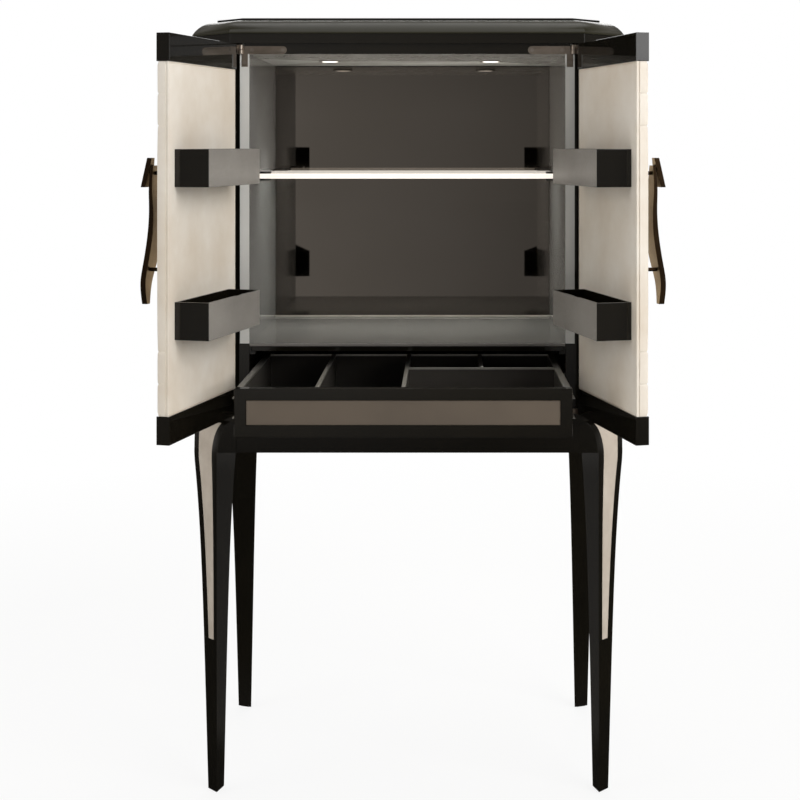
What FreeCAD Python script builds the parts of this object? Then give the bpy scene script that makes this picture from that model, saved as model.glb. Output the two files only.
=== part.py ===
"""Bar cabinet on four tapering legs: two doors with trays, a drawer, a serving shelf and a glass shelf.

Millimetres, Z up from the floor, X to the right, Y towards the back.  Every piece is first made with
Y = 0 on the front edge of the inner sides, and is moved at the end so that Y = 0 is the middle of the
whole cabinet with its doors and drawer open, which is how it is stored.
"""
import FreeCAD
import Part
import math
import os

# ---- heights above the floor -------------------------------------------------------------------
TOTAL_HEIGHT = 1600.0
LEG_TOP = 775.0
APRON_BOTTOM = 708.5
SHADOW_GAP = 4.0  # between the leg frame and the body
FLOOR_THICK = 15.0
WORKTOP_TOP = 936.0
GLASS_SHELF_TOP = 1279.0
CEILING_THICK = 21.0
FRIEZE_HEIGHT = 20.0

# ---- plan of the body ---------------------------------------------------------------------------
BODY_HALF_WIDTH = 447.0
BODY_FRONT = -9.0
BODY_DEPTH = 612.0
BODY_CHAMFER = 88.0  # each leg of the 45 degree corner
SHELL_THICK = 16.0
STILE_SETBACK = 8.0  # the stiles stand behind the inner sides' front edges, to clear the doors

# ---- cornice and top ----------------------------------------------------------------------------
LIP_HEIGHT = 3.0
LIP_OVERHANG = 3.0
CORNICE_RISE = 27.0  # height of the rounded part
CORNICE_SLOPE = 58.0  # degrees from level where the rounded part starts; it ends level
TOP_PLATE_THICK = 5.0
TOP_PLATE_INSET = 46.0
CORNICE_LANDING = 3.0  # flat of the cornice that shows around the top plate
OVOLO_STEPS = 6

# ---- inner compartment --------------------------------------------------------------------------
INNER_SIDE_INSET = 126.0  # from the outside of the body to the inside of the compartment
INNER_SIDE_THICK = 19.0
INNER_DEPTH = 466.0
INNER_BACK_THICK = 16.0
MIRROR_THICK = 4.0
MIRROR_TOP_GAP = 2.0
WORKTOP_GLASS_THICK = 6.0
GLASS_SHELF_THICK = 10.0
GLASS_SHELF_FRONT = 85.0
GLASS_SHELF_GAP = 3.0  # at its sides and behind it
CLAMP_REACH = 33.0
CLAMP_WIDTH = 30.0
CLAMP_CHEEK = 4.5
CLAMP_SETBACK = 42.0  # from the shelf's back edge to the rear clamps
LIGHT_X = 177.0
LIGHT_Y = 255.0
LIGHT_RADIUS = 24.0
LIGHT_LENS_RADIUS = 18.0
LIGHT_FLANGE = 2.0
LIGHT_BODY_DEPTH = 14.0
LIGHT_LENS_THICK = 3.0

# ---- serving shelf ------------------------------------------------------------------------------
SERVING_THICK = 9.4
SERVING_CLEARANCE = 0.3
SERVING_BACK_GAP = 15.0
SERVING_FRONT = 1.0
GUIDE_WALL = 4.0
GUIDE_LEDGE = 6.0
GUIDE_REACH = 12.0

# ---- doors --------------------------------------------------------------------------------------
PIVOT_INSET = 0.9  # from the outer face of the inner side to the pin
PIVOT_Y = 0.0
DOOR_OPEN_DEG = 104.0
DOOR_EDGE_OFFSET = 17.4  # pivot to the hinge edge of the door
DOOR_MIDDLE_GAP = 1.7  # from a closed door to the middle of the cabinet
DOOR_BOTTOM = 795.3
DOOR_TOP_GAP = 1.4  # under the frieze
DOOR_SETBACK = 1.0  # a closed door stands this far in front of the inner sides
DOOR_THICK = 25.6  # at the rails
RAIL_HEIGHT = 52.0
RAIL_PROUD = 1.8
LINING_THICK = 5.0
FACING_THICK = 6.0
DOOR_STRIP = 3.0  # bare strip of core at the hinge edge
DOOR_END_CAP = 1.0  # rails stand past the panel at the free edge
FACING_ROWS = 11  # equal rows that the seams are set out by
SEAM_ROWS = (1, 2, 9, 10)  # rows with a seam on top, counted from below
SEAM_WIDTH = 3.0
SEAM_DEPTH = 1.5
OVERSHOOT = 1.0  # a cutter reaches this far past what it cuts

# ---- door trays ---------------------------------------------------------------------------------
TRAY_HINGE_GAP = 41.0  # hinge edge of the door to the tray
TRAY_DEPTH = 67.6
TRAY_HEIGHT = 69.5
TRAY_WALL = 4.0
TRAY_END_GAP = 25.0  # free edge of the door to the tray
UPPER_TRAY_BOTTOM = 1262.5
LOWER_TRAY_BOTTOM = 983.0

# ---- door handles -------------------------------------------------------------------------------
HANDLE_EDGE_GAP = 19.0  # free edge of the door to the handle
HANDLE_WIDTH = 42.0
HANDLE_TOP = 1316.0
HANDLE_BOTTOM = 1048.0
HANDLE_JOIN = 1262.0  # lower end of the short upper leaf
HANDLE_STEM_TOP = 1302.0
HANDLE_REACH = 42.8  # from the door's face to the furthest point
HANDLE_BAR = 10.6
HANDLE_BAR_TAPER = 1.5  # less the share of the height: the bar's share of its thickness, 1 at most
HANDLE_TIP_WIDTH = 12.0
# the blade's outer line seen from its edge, as shares of the reach and of the blade's height
BLADE_LINE = ((0.526, 1.0), (0.619, 0.831), (0.607, 0.701), (0.757, 0.406), (0.897, 0.276),
              (1.0, 0.165), (0.991, 0.087), (0.925, 0.0))
# the short upper leaf seen from its edge: shares of the reach at its top and at its foot
LEAF_TOP_SHARES = (0.694, 0.46)
LEAF_FOOT_SHARES = (0.995, 0.785)
# the handle's bowed edge seen from the front, as shares of its width and of its height
BOW_LINE = ((0.905, 0.72), (0.976, 0.5), (0.857, 0.24))
POST_RADIUS = 3.5
POST_INSET = 12.0
UPPER_POST_Z = 1288.0
LOWER_POST_Z = 1111.0

# ---- hinges -------------------------------------------------------------------------------------
PIN_RADIUS = 3.0
PIN_CLEARANCE = 0.06
KNUCKLE_RADIUS = 7.0
KNUCKLE_HEIGHT = 10.0
KNUCKLE_ROOM = 0.6  # around the turning knuckle, in the fixed wood
EYE_HEIGHT = 8.0
ARM_HEIGHT = 16.0
ARM_THICK = 6.0
ARM_LENGTH = 94.1
ARM_STEP = 8.1  # full height of the arm ends this far from the pin
SIDE_LEG_HEIGHT = 26.0
SIDE_LEG_MARGIN = 3.0
SIDE_LEG_SCREW_SHARE = 2 / 3  # how far down the side leg its screw is
FOOT_PLATE_LENGTH = 39.1
FOOT_PLATE_HALF = 8.0
FOOT_PLATE_THICK = 3.0
LEAF_HEIGHT = 26.0
LEAF_THICK = 4.0
HINGE_GAP = 0.4  # between the turning and the fixed parts, along the pin
SCREW_RADIUS = 2.0
SCREW_LENGTH = 14.0
SCREW_HEAD_RADIUS = 4.2
SCREW_HEAD_THICK = 1.6

# ---- drawer -------------------------------------------------------------------------------------
DRAWER_FRONT_FACE = -287.0  # where the front stands when the drawer is out
DRAWER_FRONT_THICK = 20.0
DRAWER_SIDE_GAP = 10.0
DRAWER_FLOOR_GAP = 8.4
DRAWER_HEIGHT = 89.6
DRAWER_FRAME_BAR = 22.0
DRAWER_INLAY_THICK = 8.0
DRAWER_INLAY_RECESS = 2.0
RUNNER_SPACE = 13.0  # between the drawer box and the inner side
BOX_BACK_GAP = 8.0  # behind the closed drawer
BOX_WALL = 12.0
BOX_FLOOR_THICK = 6.0
BOX_LIFT = 3.6  # from the front's lower edge to the underside of the box
RIM_THICK = 4.0
DIVIDER_THICK = 6.0
DIVIDER_RIM = 8.0
LEFT_DIVIDER_X = -160.0
RIGHT_DIVIDER_X = 150.0
CROSS_DIVIDER_AT = 236.0  # from the drawer front's back to the cross divider of the right half
DRAWER_TRAVEL = 290.0

# ---- drawer runners -----------------------------------------------------------------------------
RUNNER_HALF_HEIGHT = 22.5
RUNNER_BACK_GAP = 11.0
RUNNER_FRONT = 5.0
RUNNER_LIFT = 46.0  # from the underside of the box to the middle of the runner
RUNNER_SHEET = 1.4
RUNNER_PLAY = 0.35
RUNNER_TIP_GAP = 4.5  # from the drawer's side to the tips of the outer channels

# ---- leg frame ----------------------------------------------------------------------------------
FOOT_INSET = 52.0  # from the side of the body to the front edge of the outer face, at the floor
FOOT_Y = 51.0
FOOT_SIDE = 29.5
SHOULDER_EDGE_INSET = 55.5  # the same, at the top
SHOULDER_Y = 25.0
SHOULDER_SIDE = 78.0
SHOULDER_START = 699.0
SHOULDER_RISE = 76.0
SHOULDER_INSET = 25.5
FLARE_LINEAR = 0.63  # share of the leg's widening that is a straight taper
FLARE_POWER = 5
FLARE_END_GAP = 9.0  # the leg is at its widest this far under the shoulder
LEG_DEPTH_SHARE = 1.0  # depth of the three-cornered section, as a share of its outer face
LEG_SECTIONS = (0.0, 0.2, 0.38, 0.54, 0.68, 0.8, 0.9, 1.0)
GLIDE_THICK = 2.0
GLIDE_INSET = 3.0
APRON_THICK = 20.0
DECK_THICK = 24.0
DECK_CORNER_GAP = 4.0  # in front of the inner corners of the legs
INLAY_THICK = 1.5
INLAY_OUTER_BORDER = 15.5
INLAY_INNER_BORDER = 11.0
INLAY_BORDER_FLARE = 6.5  # how much the inner border widens with the leg's flare
INLAY_TOP_GAP = 8.0
INLAY_BOTTOM = 318.0
INLAY_STEPS = 14
CORNER_BLOCK_REACH = 40.0

# ---- worked out from the values above -----------------------------------------------------------
BODY_BACK = BODY_FRONT + BODY_DEPTH
MIDDLE_Y = (BODY_FRONT + BODY_BACK) / 2
FLOOR_BOTTOM = LEG_TOP + SHADOW_GAP
FLOOR_TOP = FLOOR_BOTTOM + FLOOR_THICK
FRIEZE_TOP = TOTAL_HEIGHT - TOP_PLATE_THICK - CORNICE_RISE - LIP_HEIGHT
SHELL_TOP = FRIEZE_TOP - FRIEZE_HEIGHT
CEILING_UNDERSIDE = SHELL_TOP - CEILING_THICK
OUTER_SIDE_IN = BODY_HALF_WIDTH - SHELL_THICK
INNER_HALF_WIDTH = BODY_HALF_WIDTH - INNER_SIDE_INSET
FOOT_X = BODY_HALF_WIDTH - FOOT_INSET
SHOULDER_X = BODY_HALF_WIDTH - SHOULDER_EDGE_INSET
SLANT_STEP = SHELL_THICK * math.sqrt(2)  # how far a 45 degree wall reaches along X or Y
SIDE_FRONT_Y = BODY_FRONT + BODY_CHAMFER
STILE_BACK_Y = STILE_SETBACK + SHELL_THICK
INNER_SIDE_OUT = INNER_HALF_WIDTH + INNER_SIDE_THICK
MIRROR_FRONT = INNER_DEPTH - MIRROR_THICK
MIRROR_TOP = CEILING_UNDERSIDE - MIRROR_TOP_GAP
GLASS_SHELF_BACK = MIRROR_FRONT - GLASS_SHELF_GAP
GLASS_SHELF_HALF = INNER_HALF_WIDTH - GLASS_SHELF_GAP
GLASS_SHELF_BOTTOM = GLASS_SHELF_TOP - GLASS_SHELF_THICK
WORKTOP_BOTTOM = WORKTOP_TOP - WORKTOP_GLASS_THICK
SERVING_TOP = WORKTOP_BOTTOM - SERVING_CLEARANCE
SERVING_BOTTOM = SERVING_TOP - SERVING_THICK
GUIDE_SEAT = SERVING_BOTTOM - SERVING_CLEARANCE
SERVING_HALF_WIDTH = INNER_HALF_WIDTH - GUIDE_WALL - SERVING_CLEARANCE
SERVING_BACK = INNER_DEPTH - SERVING_BACK_GAP
DOOR_INNER_Y = PIVOT_Y - DOOR_SETBACK
DOOR_OUTER_Y = DOOR_INNER_Y - DOOR_THICK
PIVOT_X = INNER_SIDE_OUT - PIVOT_INSET
DOOR_HINGE_X = PIVOT_X - DOOR_EDGE_OFFSET
DOOR_FREE_X = DOOR_MIDDLE_GAP
TRAY_LENGTH = DOOR_HINGE_X - DOOR_FREE_X - TRAY_HINGE_GAP - TRAY_END_GAP
ARM_END_X = PIVOT_X - ARM_LENGTH
ARM_STEP_X = PIVOT_X - ARM_STEP
FOOT_PLATE_X = PIVOT_X - FOOT_PLATE_LENGTH
DOOR_TOP = SHELL_TOP - DOOR_TOP_GAP
PANEL_BOTTOM = DOOR_BOTTOM + RAIL_HEIGHT
PANEL_TOP = DOOR_TOP - RAIL_HEIGHT
PANEL_INNER_Y = DOOR_INNER_Y - RAIL_PROUD
PANEL_OUTER_Y = DOOR_OUTER_Y + RAIL_PROUD
BOX_FRONT_Y = DRAWER_FRONT_FACE + DRAWER_FRONT_THICK
BOX_BACK_Y = INNER_DEPTH - BOX_BACK_GAP - DRAWER_TRAVEL
BOX_HALF_WIDTH = INNER_HALF_WIDTH - RUNNER_SPACE
BOX_INNER_HALF = BOX_HALF_WIDTH - BOX_WALL
DRAWER_HALF_WIDTH = INNER_HALF_WIDTH - DRAWER_SIDE_GAP
DRAWER_BOTTOM_Z = FLOOR_TOP + DRAWER_FLOOR_GAP
DRAWER_TOP_Z = DRAWER_BOTTOM_Z + DRAWER_HEIGHT
BOX_UNDERSIDE = DRAWER_BOTTOM_Z + BOX_LIFT
RUNNER_MIDDLE_Z = BOX_UNDERSIDE + RUNNER_LIFT
WALL_TOP = DRAWER_TOP_Z - RIM_THICK
BOX_FLOOR_TOP = BOX_UNDERSIDE + BOX_FLOOR_THICK
RUNNER_LENGTH = INNER_DEPTH - RUNNER_BACK_GAP - RUNNER_FRONT
HALF_ROOT = math.sqrt(0.5)  # share of a 45 degree length along X or Y

parts = {}


# ---- helpers ------------------------------------------------------------------------------------
def box(x0, x1, y0, y1, z0, z1):
    """A block between two corners."""
    return Part.makeBox(x1 - x0, y1 - y0, z1 - z0, FreeCAD.Vector(x0, y0, z0))


def prism(outline, z0, z1):
    """A closed outline of (x, y) points, drawn up from z0 to z1."""
    return face_at(outline, z0).extrude(FreeCAD.Vector(0, 0, z1 - z0))


def wire_at(outline, z):
    """A closed wire through (x, y) points at one height."""
    points = [FreeCAD.Vector(x, y, z) for x, y in outline]
    return Part.makePolygon(points + points[:1])


def face_at(outline, z):
    """The flat face inside wire_at."""
    return Part.Face(wire_at(outline, z))


def side_profile(outline, x0, x1):
    """A closed outline of (y, z) points, drawn along X from x0 to x1."""
    points = [FreeCAD.Vector(x0, y, z) for y, z in outline]
    return Part.Face(Part.makePolygon(points + points[:1])).extrude(FreeCAD.Vector(x1 - x0, 0, 0))


def rod(radius, base, direction, length):
    """A round bar that starts at base."""
    return Part.makeCylinder(radius, length, FreeCAD.Vector(*base), FreeCAD.Vector(*direction))


def mirrored(shape):
    """The same shape on the other side of the cabinet."""
    return shape.mirror(FreeCAD.Vector(0, 0, 0), FreeCAD.Vector(1, 0, 0))


def to_back(shape):
    """The same shape at the back, mirrored about the middle of the body's depth."""
    return shape.mirror(FreeCAD.Vector(0, MIDDLE_Y, 0), FreeCAD.Vector(0, 1, 0))


def both(shape):
    """A shape and its mirror image, as two solids."""
    return Part.makeCompound([shape, mirrored(shape)])


def eight_sided(inset):
    """The body's plan, moved in by inset on all eight sides, as (x, y) points."""
    half = BODY_HALF_WIDTH - inset
    front, back = BODY_FRONT + inset, BODY_BACK - inset
    cut = BODY_CHAMFER - inset * (2 - math.sqrt(2))
    return [(-half + cut, front), (half - cut, front), (half, front + cut), (half, back - cut),
            (half - cut, back), (-half + cut, back), (-half, back - cut), (-half, front + cut)]


# ---- body ---------------------------------------------------------------------------------------
def make_top():
    """Frieze, rounded cornice and the thin plate on top."""
    parts["frieze_board"] = prism(eight_sided(0), SHELL_TOP, FRIEZE_TOP)
    lip_top = FRIEZE_TOP + LIP_HEIGHT
    plate_bottom = TOTAL_HEIGHT - TOP_PLATE_THICK
    lip = prism(eight_sided(-LIP_OVERHANG), FRIEZE_TOP, lip_top)
    reach = TOP_PLATE_INSET - CORNICE_LANDING + LIP_OVERHANG
    start = math.radians(CORNICE_SLOPE)
    wires = []
    for step in range(OVOLO_STEPS + 1):
        turn = start * (1 - step / OVOLO_STEPS)
        inset = -LIP_OVERHANG + reach * (1 - math.sin(turn) / math.sin(start))
        share = (math.cos(turn) - math.cos(start)) / (1 - math.cos(start))
        wires.append(wire_at(eight_sided(inset), lip_top + (plate_bottom - lip_top) * share))
    ovolo = Part.makeLoft(wires, True, True)
    parts["cornice"] = lip.fuse(ovolo)
    parts["top_plate"] = prism(eight_sided(TOP_PLATE_INSET), plate_bottom, TOTAL_HEIGHT)


def make_shell():
    """Outer sides, slanted corner pilasters, back panel, and the boards above and below."""
    rear_y = BODY_BACK - BODY_CHAMFER
    corner_x = BODY_HALF_WIDTH - BODY_CHAMFER
    slant_in = BODY_HALF_WIDTH - SLANT_STEP
    stile_x = BODY_HALF_WIDTH - SIDE_FRONT_Y + STILE_SETBACK
    front_corner = [(INNER_SIDE_OUT, STILE_SETBACK), (stile_x, STILE_SETBACK),
                    (BODY_HALF_WIDTH, SIDE_FRONT_Y), (slant_in, SIDE_FRONT_Y),
                    (slant_in - SIDE_FRONT_Y + STILE_BACK_Y, STILE_BACK_Y), (INNER_SIDE_OUT, STILE_BACK_Y)]
    back_inside_y = BODY_BACK - SHELL_THICK
    back_inside_x = slant_in - back_inside_y + rear_y
    rear_corner = [(BODY_HALF_WIDTH, rear_y), (corner_x, BODY_BACK), (back_inside_x, BODY_BACK),
                   (back_inside_x, back_inside_y), (slant_in, rear_y)]
    side = box(OUTER_SIDE_IN, BODY_HALF_WIDTH, SIDE_FRONT_Y, rear_y, FLOOR_TOP, SHELL_TOP)
    pilaster = prism(front_corner, FLOOR_TOP, SHELL_TOP)
    parts["right_outer_side"] = side
    parts["left_outer_side"] = mirrored(side)
    parts["right_front_pilaster"] = pilaster
    parts["left_front_pilaster"] = mirrored(pilaster)
    parts["rear_pilasters"] = both(prism(rear_corner, FLOOR_TOP, SHELL_TOP))
    parts["back_panel"] = box(-back_inside_x, back_inside_x, back_inside_y, BODY_BACK, FLOOR_TOP, SHELL_TOP)
    parts["floor_panel"] = prism(eight_sided(0), FLOOR_BOTTOM, FLOOR_TOP)
    half_plan = [(INNER_SIDE_OUT, PIVOT_Y), (INNER_SIDE_OUT, STILE_BACK_Y), front_corner[4],
                 (slant_in, SIDE_FRONT_Y), (OUTER_SIDE_IN, SIDE_FRONT_Y), (OUTER_SIDE_IN, rear_y),
                 (slant_in, rear_y), (back_inside_x, back_inside_y)]
    outline = half_plan + [(-x, y) for x, y in reversed(half_plan)]
    parts["ceiling_panel"] = prism(outline, CEILING_UNDERSIDE, SHELL_TOP)


def make_compartment():
    """Inner sides and back, mirror, worktop glass, glass shelf with its clamps, and ceiling lights."""
    side = box(INNER_HALF_WIDTH, INNER_SIDE_OUT, 0, INNER_DEPTH, FLOOR_TOP, CEILING_UNDERSIDE)
    parts["right_inner_side"] = side
    parts["left_inner_side"] = mirrored(side)
    parts["inner_back"] = box(-INNER_SIDE_OUT, INNER_SIDE_OUT, INNER_DEPTH,
                              INNER_DEPTH + INNER_BACK_THICK, FLOOR_TOP, CEILING_UNDERSIDE)
    parts["mirror"] = box(-INNER_HALF_WIDTH, INNER_HALF_WIDTH, MIRROR_FRONT, INNER_DEPTH,
                          WORKTOP_TOP, MIRROR_TOP)
    parts["worktop_glass"] = box(-INNER_HALF_WIDTH, INNER_HALF_WIDTH, 0, INNER_DEPTH,
                                 WORKTOP_BOTTOM, WORKTOP_TOP)
    ledge_x = INNER_HALF_WIDTH - GUIDE_REACH
    wall_x = INNER_HALF_WIDTH - GUIDE_WALL
    ledge_z = GUIDE_SEAT - GUIDE_LEDGE
    guide_profile = [(INNER_HALF_WIDTH, ledge_z), (ledge_x, ledge_z), (ledge_x, GUIDE_SEAT),
                     (wall_x, GUIDE_SEAT), (wall_x, WORKTOP_BOTTOM), (INNER_HALF_WIDTH, WORKTOP_BOTTOM)]
    points = [FreeCAD.Vector(x, SERVING_FRONT, z) for x, z in guide_profile]
    guide = Part.Face(Part.makePolygon(points + points[:1]))
    parts["shelf_guides"] = both(guide.extrude(FreeCAD.Vector(0, INNER_DEPTH - SERVING_FRONT, 0)))
    parts["glass_shelf"] = box(-GLASS_SHELF_HALF, GLASS_SHELF_HALF, GLASS_SHELF_FRONT, GLASS_SHELF_BACK,
                               GLASS_SHELF_BOTTOM, GLASS_SHELF_TOP)
    rear_clamp_y = GLASS_SHELF_BACK - CLAMP_SETBACK
    clamps = [shelf_clamp(y) for y in (GLASS_SHELF_FRONT, rear_clamp_y)]
    parts["shelf_clamps"] = Part.makeCompound(clamps + [mirrored(clamp) for clamp in clamps])
    make_lights()


def shelf_clamp(front_y):
    """A half-round glass clamp on the right inner side, with a slot that the shelf sits in."""
    bottom, top = GLASS_SHELF_BOTTOM - CLAMP_CHEEK, GLASS_SHELF_TOP + CLAMP_CHEEK
    radius = CLAMP_WIDTH / 2
    middle = front_y + radius
    nose = INNER_HALF_WIDTH - CLAMP_REACH + radius
    body = box(nose, INNER_HALF_WIDTH, front_y, front_y + CLAMP_WIDTH, bottom, top)
    body = body.fuse(rod(radius, (nose, middle, bottom), (0, 0, 1), top - bottom)).removeSplitter()
    return body.cut(parts["glass_shelf"])


def make_lights():
    """Two round lights let into the ceiling, each a metal cup with a lens."""
    flange_bottom = CEILING_UNDERSIDE - LIGHT_FLANGE
    cup_top = CEILING_UNDERSIDE + LIGHT_BODY_DEPTH
    lens_top = flange_bottom + LIGHT_LENS_THICK
    up = (0, 0, 1)
    centre = (LIGHT_X, LIGHT_Y)
    cup = rod(LIGHT_RADIUS, (*centre, flange_bottom), up, LIGHT_FLANGE)
    cup_radius = (LIGHT_RADIUS + LIGHT_LENS_RADIUS) / 2
    cup = cup.fuse(rod(cup_radius, (*centre, CEILING_UNDERSIDE), up, cup_top - CEILING_UNDERSIDE))
    lens = rod(LIGHT_LENS_RADIUS, (*centre, flange_bottom), up, LIGHT_LENS_THICK)
    parts["light_cups"] = both(cup.cut(lens))
    parts["light_lenses"] = both(lens)
    for side in (LIGHT_X, -LIGHT_X):
        hole = rod(cup_radius, (side, LIGHT_Y, CEILING_UNDERSIDE), up, cup_top - CEILING_UNDERSIDE)
        parts["ceiling_panel"] = parts["ceiling_panel"].cut(hole)


def make_serving_shelf():
    """The thin shelf that slides out between the worktop glass and its guides."""
    parts["serving_shelf"] = box(-SERVING_HALF_WIDTH, SERVING_HALF_WIDTH, SERVING_FRONT,
                                 SERVING_BACK, SERVING_BOTTOM, SERVING_TOP)


# ---- leg frame ----------------------------------------------------------------------------------
def leg_share(height):
    """How far up the widening part of the leg a height is, from 0 to 1."""
    return min(height / (SHOULDER_START - FLARE_END_GAP), 1.0)


def leg_side(height):
    """Width of the leg's outer face at a height."""
    share = leg_share(height)
    flare = FLARE_LINEAR * share + (1 - FLARE_LINEAR) * share ** FLARE_POWER
    return FOOT_SIDE + (SHOULDER_SIDE - FOOT_SIDE) * flare


def leg_edge(height):
    """Where the front edge of the right leg's outer face stands at a height, as (x, y)."""
    share = height / LEG_TOP
    return FOOT_X + (SHOULDER_X - FOOT_X) * share, FOOT_Y + (SHOULDER_Y - FOOT_Y) * share


def leg_section(height, inset=0.0):
    """Three corners of the front right leg at a height, moved in by inset, as (x, y): outer face first."""
    x, y = leg_edge(height)
    side = leg_side(height)
    depth = side * LEG_DEPTH_SHARE
    inner_radius = side * depth / (side + 2 * math.hypot(side / 2, depth))
    keep = 1 - inset / inner_radius
    corners = []
    for along, inward in ((0, 0), (side, 0), (side / 2, depth)):
        along = side / 2 + (along - side / 2) * keep
        inward = inner_radius + (inward - inner_radius) * keep
        corners.append((x + (along - inward) * HALF_ROOT, y + (along + inward) * HALF_ROOT))
    return corners


def corner_vectors(height):
    """For the front right leg at a height: a point on its outer face, the way along it and out of it."""
    x, y = leg_edge(height)
    along = FreeCAD.Vector(HALF_ROOT, HALF_ROOT, 0)
    out = FreeCAD.Vector(HALF_ROOT, -HALF_ROOT, 0)
    return FreeCAD.Vector(x, y, height), along, out


def shoulder_cutter():
    """What is taken off the front right corner so that its outer face rolls in at the top."""
    base, along, out = corner_vectors(SHOULDER_START)
    reach = 2 * SHOULDER_SIDE
    up = FreeCAD.Vector(0, 0, 1)
    start = base - along * reach
    inner = start - out * SHOULDER_INSET
    curve = Part.Ellipse(inner + up * SHOULDER_RISE, start, inner)
    arc = Part.Arc(curve, 0, math.pi / 2).toShape()
    ends = [vertex.Point for vertex in arc.Vertexes]
    high = max(ends, key=lambda point: point.z)
    low = min(ends, key=lambda point: point.z)
    far_high = high + out * (2 * SHOULDER_INSET)
    far_low = low + out * SHOULDER_INSET
    lift = up * SHADOW_GAP
    edges = [arc, Part.makeLine(high, high + lift), Part.makeLine(high + lift, far_high + lift),
             Part.makeLine(far_high + lift, far_low), Part.makeLine(far_low, low)]
    face = Part.Face(Part.Wire(Part.__sortEdges__(edges)))
    return face.extrude(along * (2 * reach))


def edge_roll(height):
    """How far the rolled shoulder has come in at a height."""
    rise = max(height - SHOULDER_START, 0.0) / SHOULDER_RISE
    return SHOULDER_INSET * (1 - math.sqrt(max(1 - rise * rise, 0.0)))


def inlay_span(height):
    """How far along the outer face the inlay starts and ends at a height."""
    roll = edge_roll(height)
    inner_border = INLAY_INNER_BORDER + INLAY_BORDER_FLARE * leg_share(height) ** FLARE_POWER
    return inner_border - roll, leg_side(height) - INLAY_OUTER_BORDER + roll


def inlay_face():
    """The inlay's outline as a flat face in the plane of the front right leg's outer face."""
    rise = LEG_TOP - INLAY_TOP_GAP - INLAY_BOTTOM
    lines = ([], [])
    for step in range(INLAY_STEPS + 1):
        height = INLAY_BOTTOM + rise * step / INLAY_STEPS
        base, along, _ = corner_vectors(height)
        for line, reach in zip(lines, inlay_span(height)):
            line.append(base + along * reach)
    edges = [Part.makeLine(lines[0][end], lines[1][end]) for end in (0, -1)]
    for line in lines:
        curve = Part.BSplineCurve()
        curve.interpolate(line)
        edges.append(curve.toShape())
    return Part.Face(Part.Wire(Part.__sortEdges__(edges)))


def corner_block():
    """The block at the head of the front right leg that the aprons run into."""
    (x, y), (far_x, far_y) = leg_section(LEG_TOP)[:2]
    outline = [(x - CORNER_BLOCK_REACH, y), (x, y), (far_x, far_y), (far_x, far_y + CORNER_BLOCK_REACH),
               (far_x - APRON_THICK, far_y + CORNER_BLOCK_REACH), (x - CORNER_BLOCK_REACH, y + APRON_THICK)]
    return prism(outline, APRON_BOTTOM, LEG_TOP)


def make_legs():
    """Four legs, the pale inlay in the outer face of each, and a glide under each foot."""
    heights = [GLIDE_THICK + (SHOULDER_START - GLIDE_THICK) * share for share in LEG_SECTIONS] + [LEG_TOP]
    leg = Part.makeLoft([wire_at(leg_section(height), height) for height in heights], True, False)
    leg = biggest(leg.fuse(corner_block()).cut(shoulder_cutter()))
    _, _, out = corner_vectors(LEG_TOP)
    deep = 2 * SHOULDER_INSET
    column = inlay_face().translated(out * -deep).extrude(out * (2 * deep))
    inlay = biggest(leg.common(column).cut(leg.translated(out * -INLAY_THICK)))
    leg = biggest(leg.cut(inlay))
    glide = prism(leg_section(0, GLIDE_INSET), 0, GLIDE_THICK)
    parts["front_right_leg"] = leg
    parts["front_left_leg"] = mirrored(leg)
    parts["rear_right_leg"] = to_back(leg)
    parts["rear_left_leg"] = mirrored(to_back(leg))
    for name, piece in (("leg_inlays", inlay), ("foot_glides", glide)):
        rear = to_back(piece)
        parts[name] = Part.makeCompound([piece, mirrored(piece), rear, mirrored(rear)])


def make_leg_frame():
    """Aprons between the corner blocks and the deck board that joins them to the body."""
    (x, front_y), (side_x, side_y) = leg_section(LEG_TOP)[:2]
    end_x = x - CORNER_BLOCK_REACH
    end_y = side_y + CORNER_BLOCK_REACH
    front = box(-end_x, end_x, front_y, front_y + APRON_THICK, APRON_BOTTOM, LEG_TOP)
    parts["front_apron"] = front
    parts["rear_apron"] = to_back(front)
    parts["side_aprons"] = both(box(side_x - APRON_THICK, side_x, end_y, 2 * MIDDLE_Y - end_y,
                                    APRON_BOTTOM, LEG_TOP))
    deck_x, deck_y = side_x - APRON_THICK, front_y + APRON_THICK
    inner_x, inner_y = leg_section(FLOOR_BOTTOM - DECK_THICK)[2]
    cut = deck_x - deck_y - (inner_x - inner_y - DECK_CORNER_GAP)
    half = [(deck_x - cut, deck_y), (deck_x, deck_y + cut), (deck_x, 2 * MIDDLE_Y - deck_y - cut),
            (deck_x - cut, 2 * MIDDLE_Y - deck_y)]
    outline = half + [(-px, py) for px, py in reversed(half)]
    parts["base_deck"] = prism(outline, FLOOR_BOTTOM - DECK_THICK, FLOOR_BOTTOM)


def biggest(shape):
    """The largest solid of a shape, when a cut leaves slivers."""
    return max(shape.Solids, key=lambda solid: solid.Volume)


# ---- doors --------------------------------------------------------------------------------------
def open_door(shape):
    """Swing a piece of the closed right door to where it is stored."""
    turned = shape.copy()
    turned.rotate(FreeCAD.Vector(PIVOT_X, PIVOT_Y, 0), FreeCAD.Vector(0, 0, 1), DOOR_OPEN_DEG)
    return turned


def store_door_piece(name, shape):
    """Keep a piece of the closed right door as the open right and left doors' pieces."""
    opened = open_door(shape)
    parts["right_" + name] = opened
    parts["left_" + name] = mirrored(opened)


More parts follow.
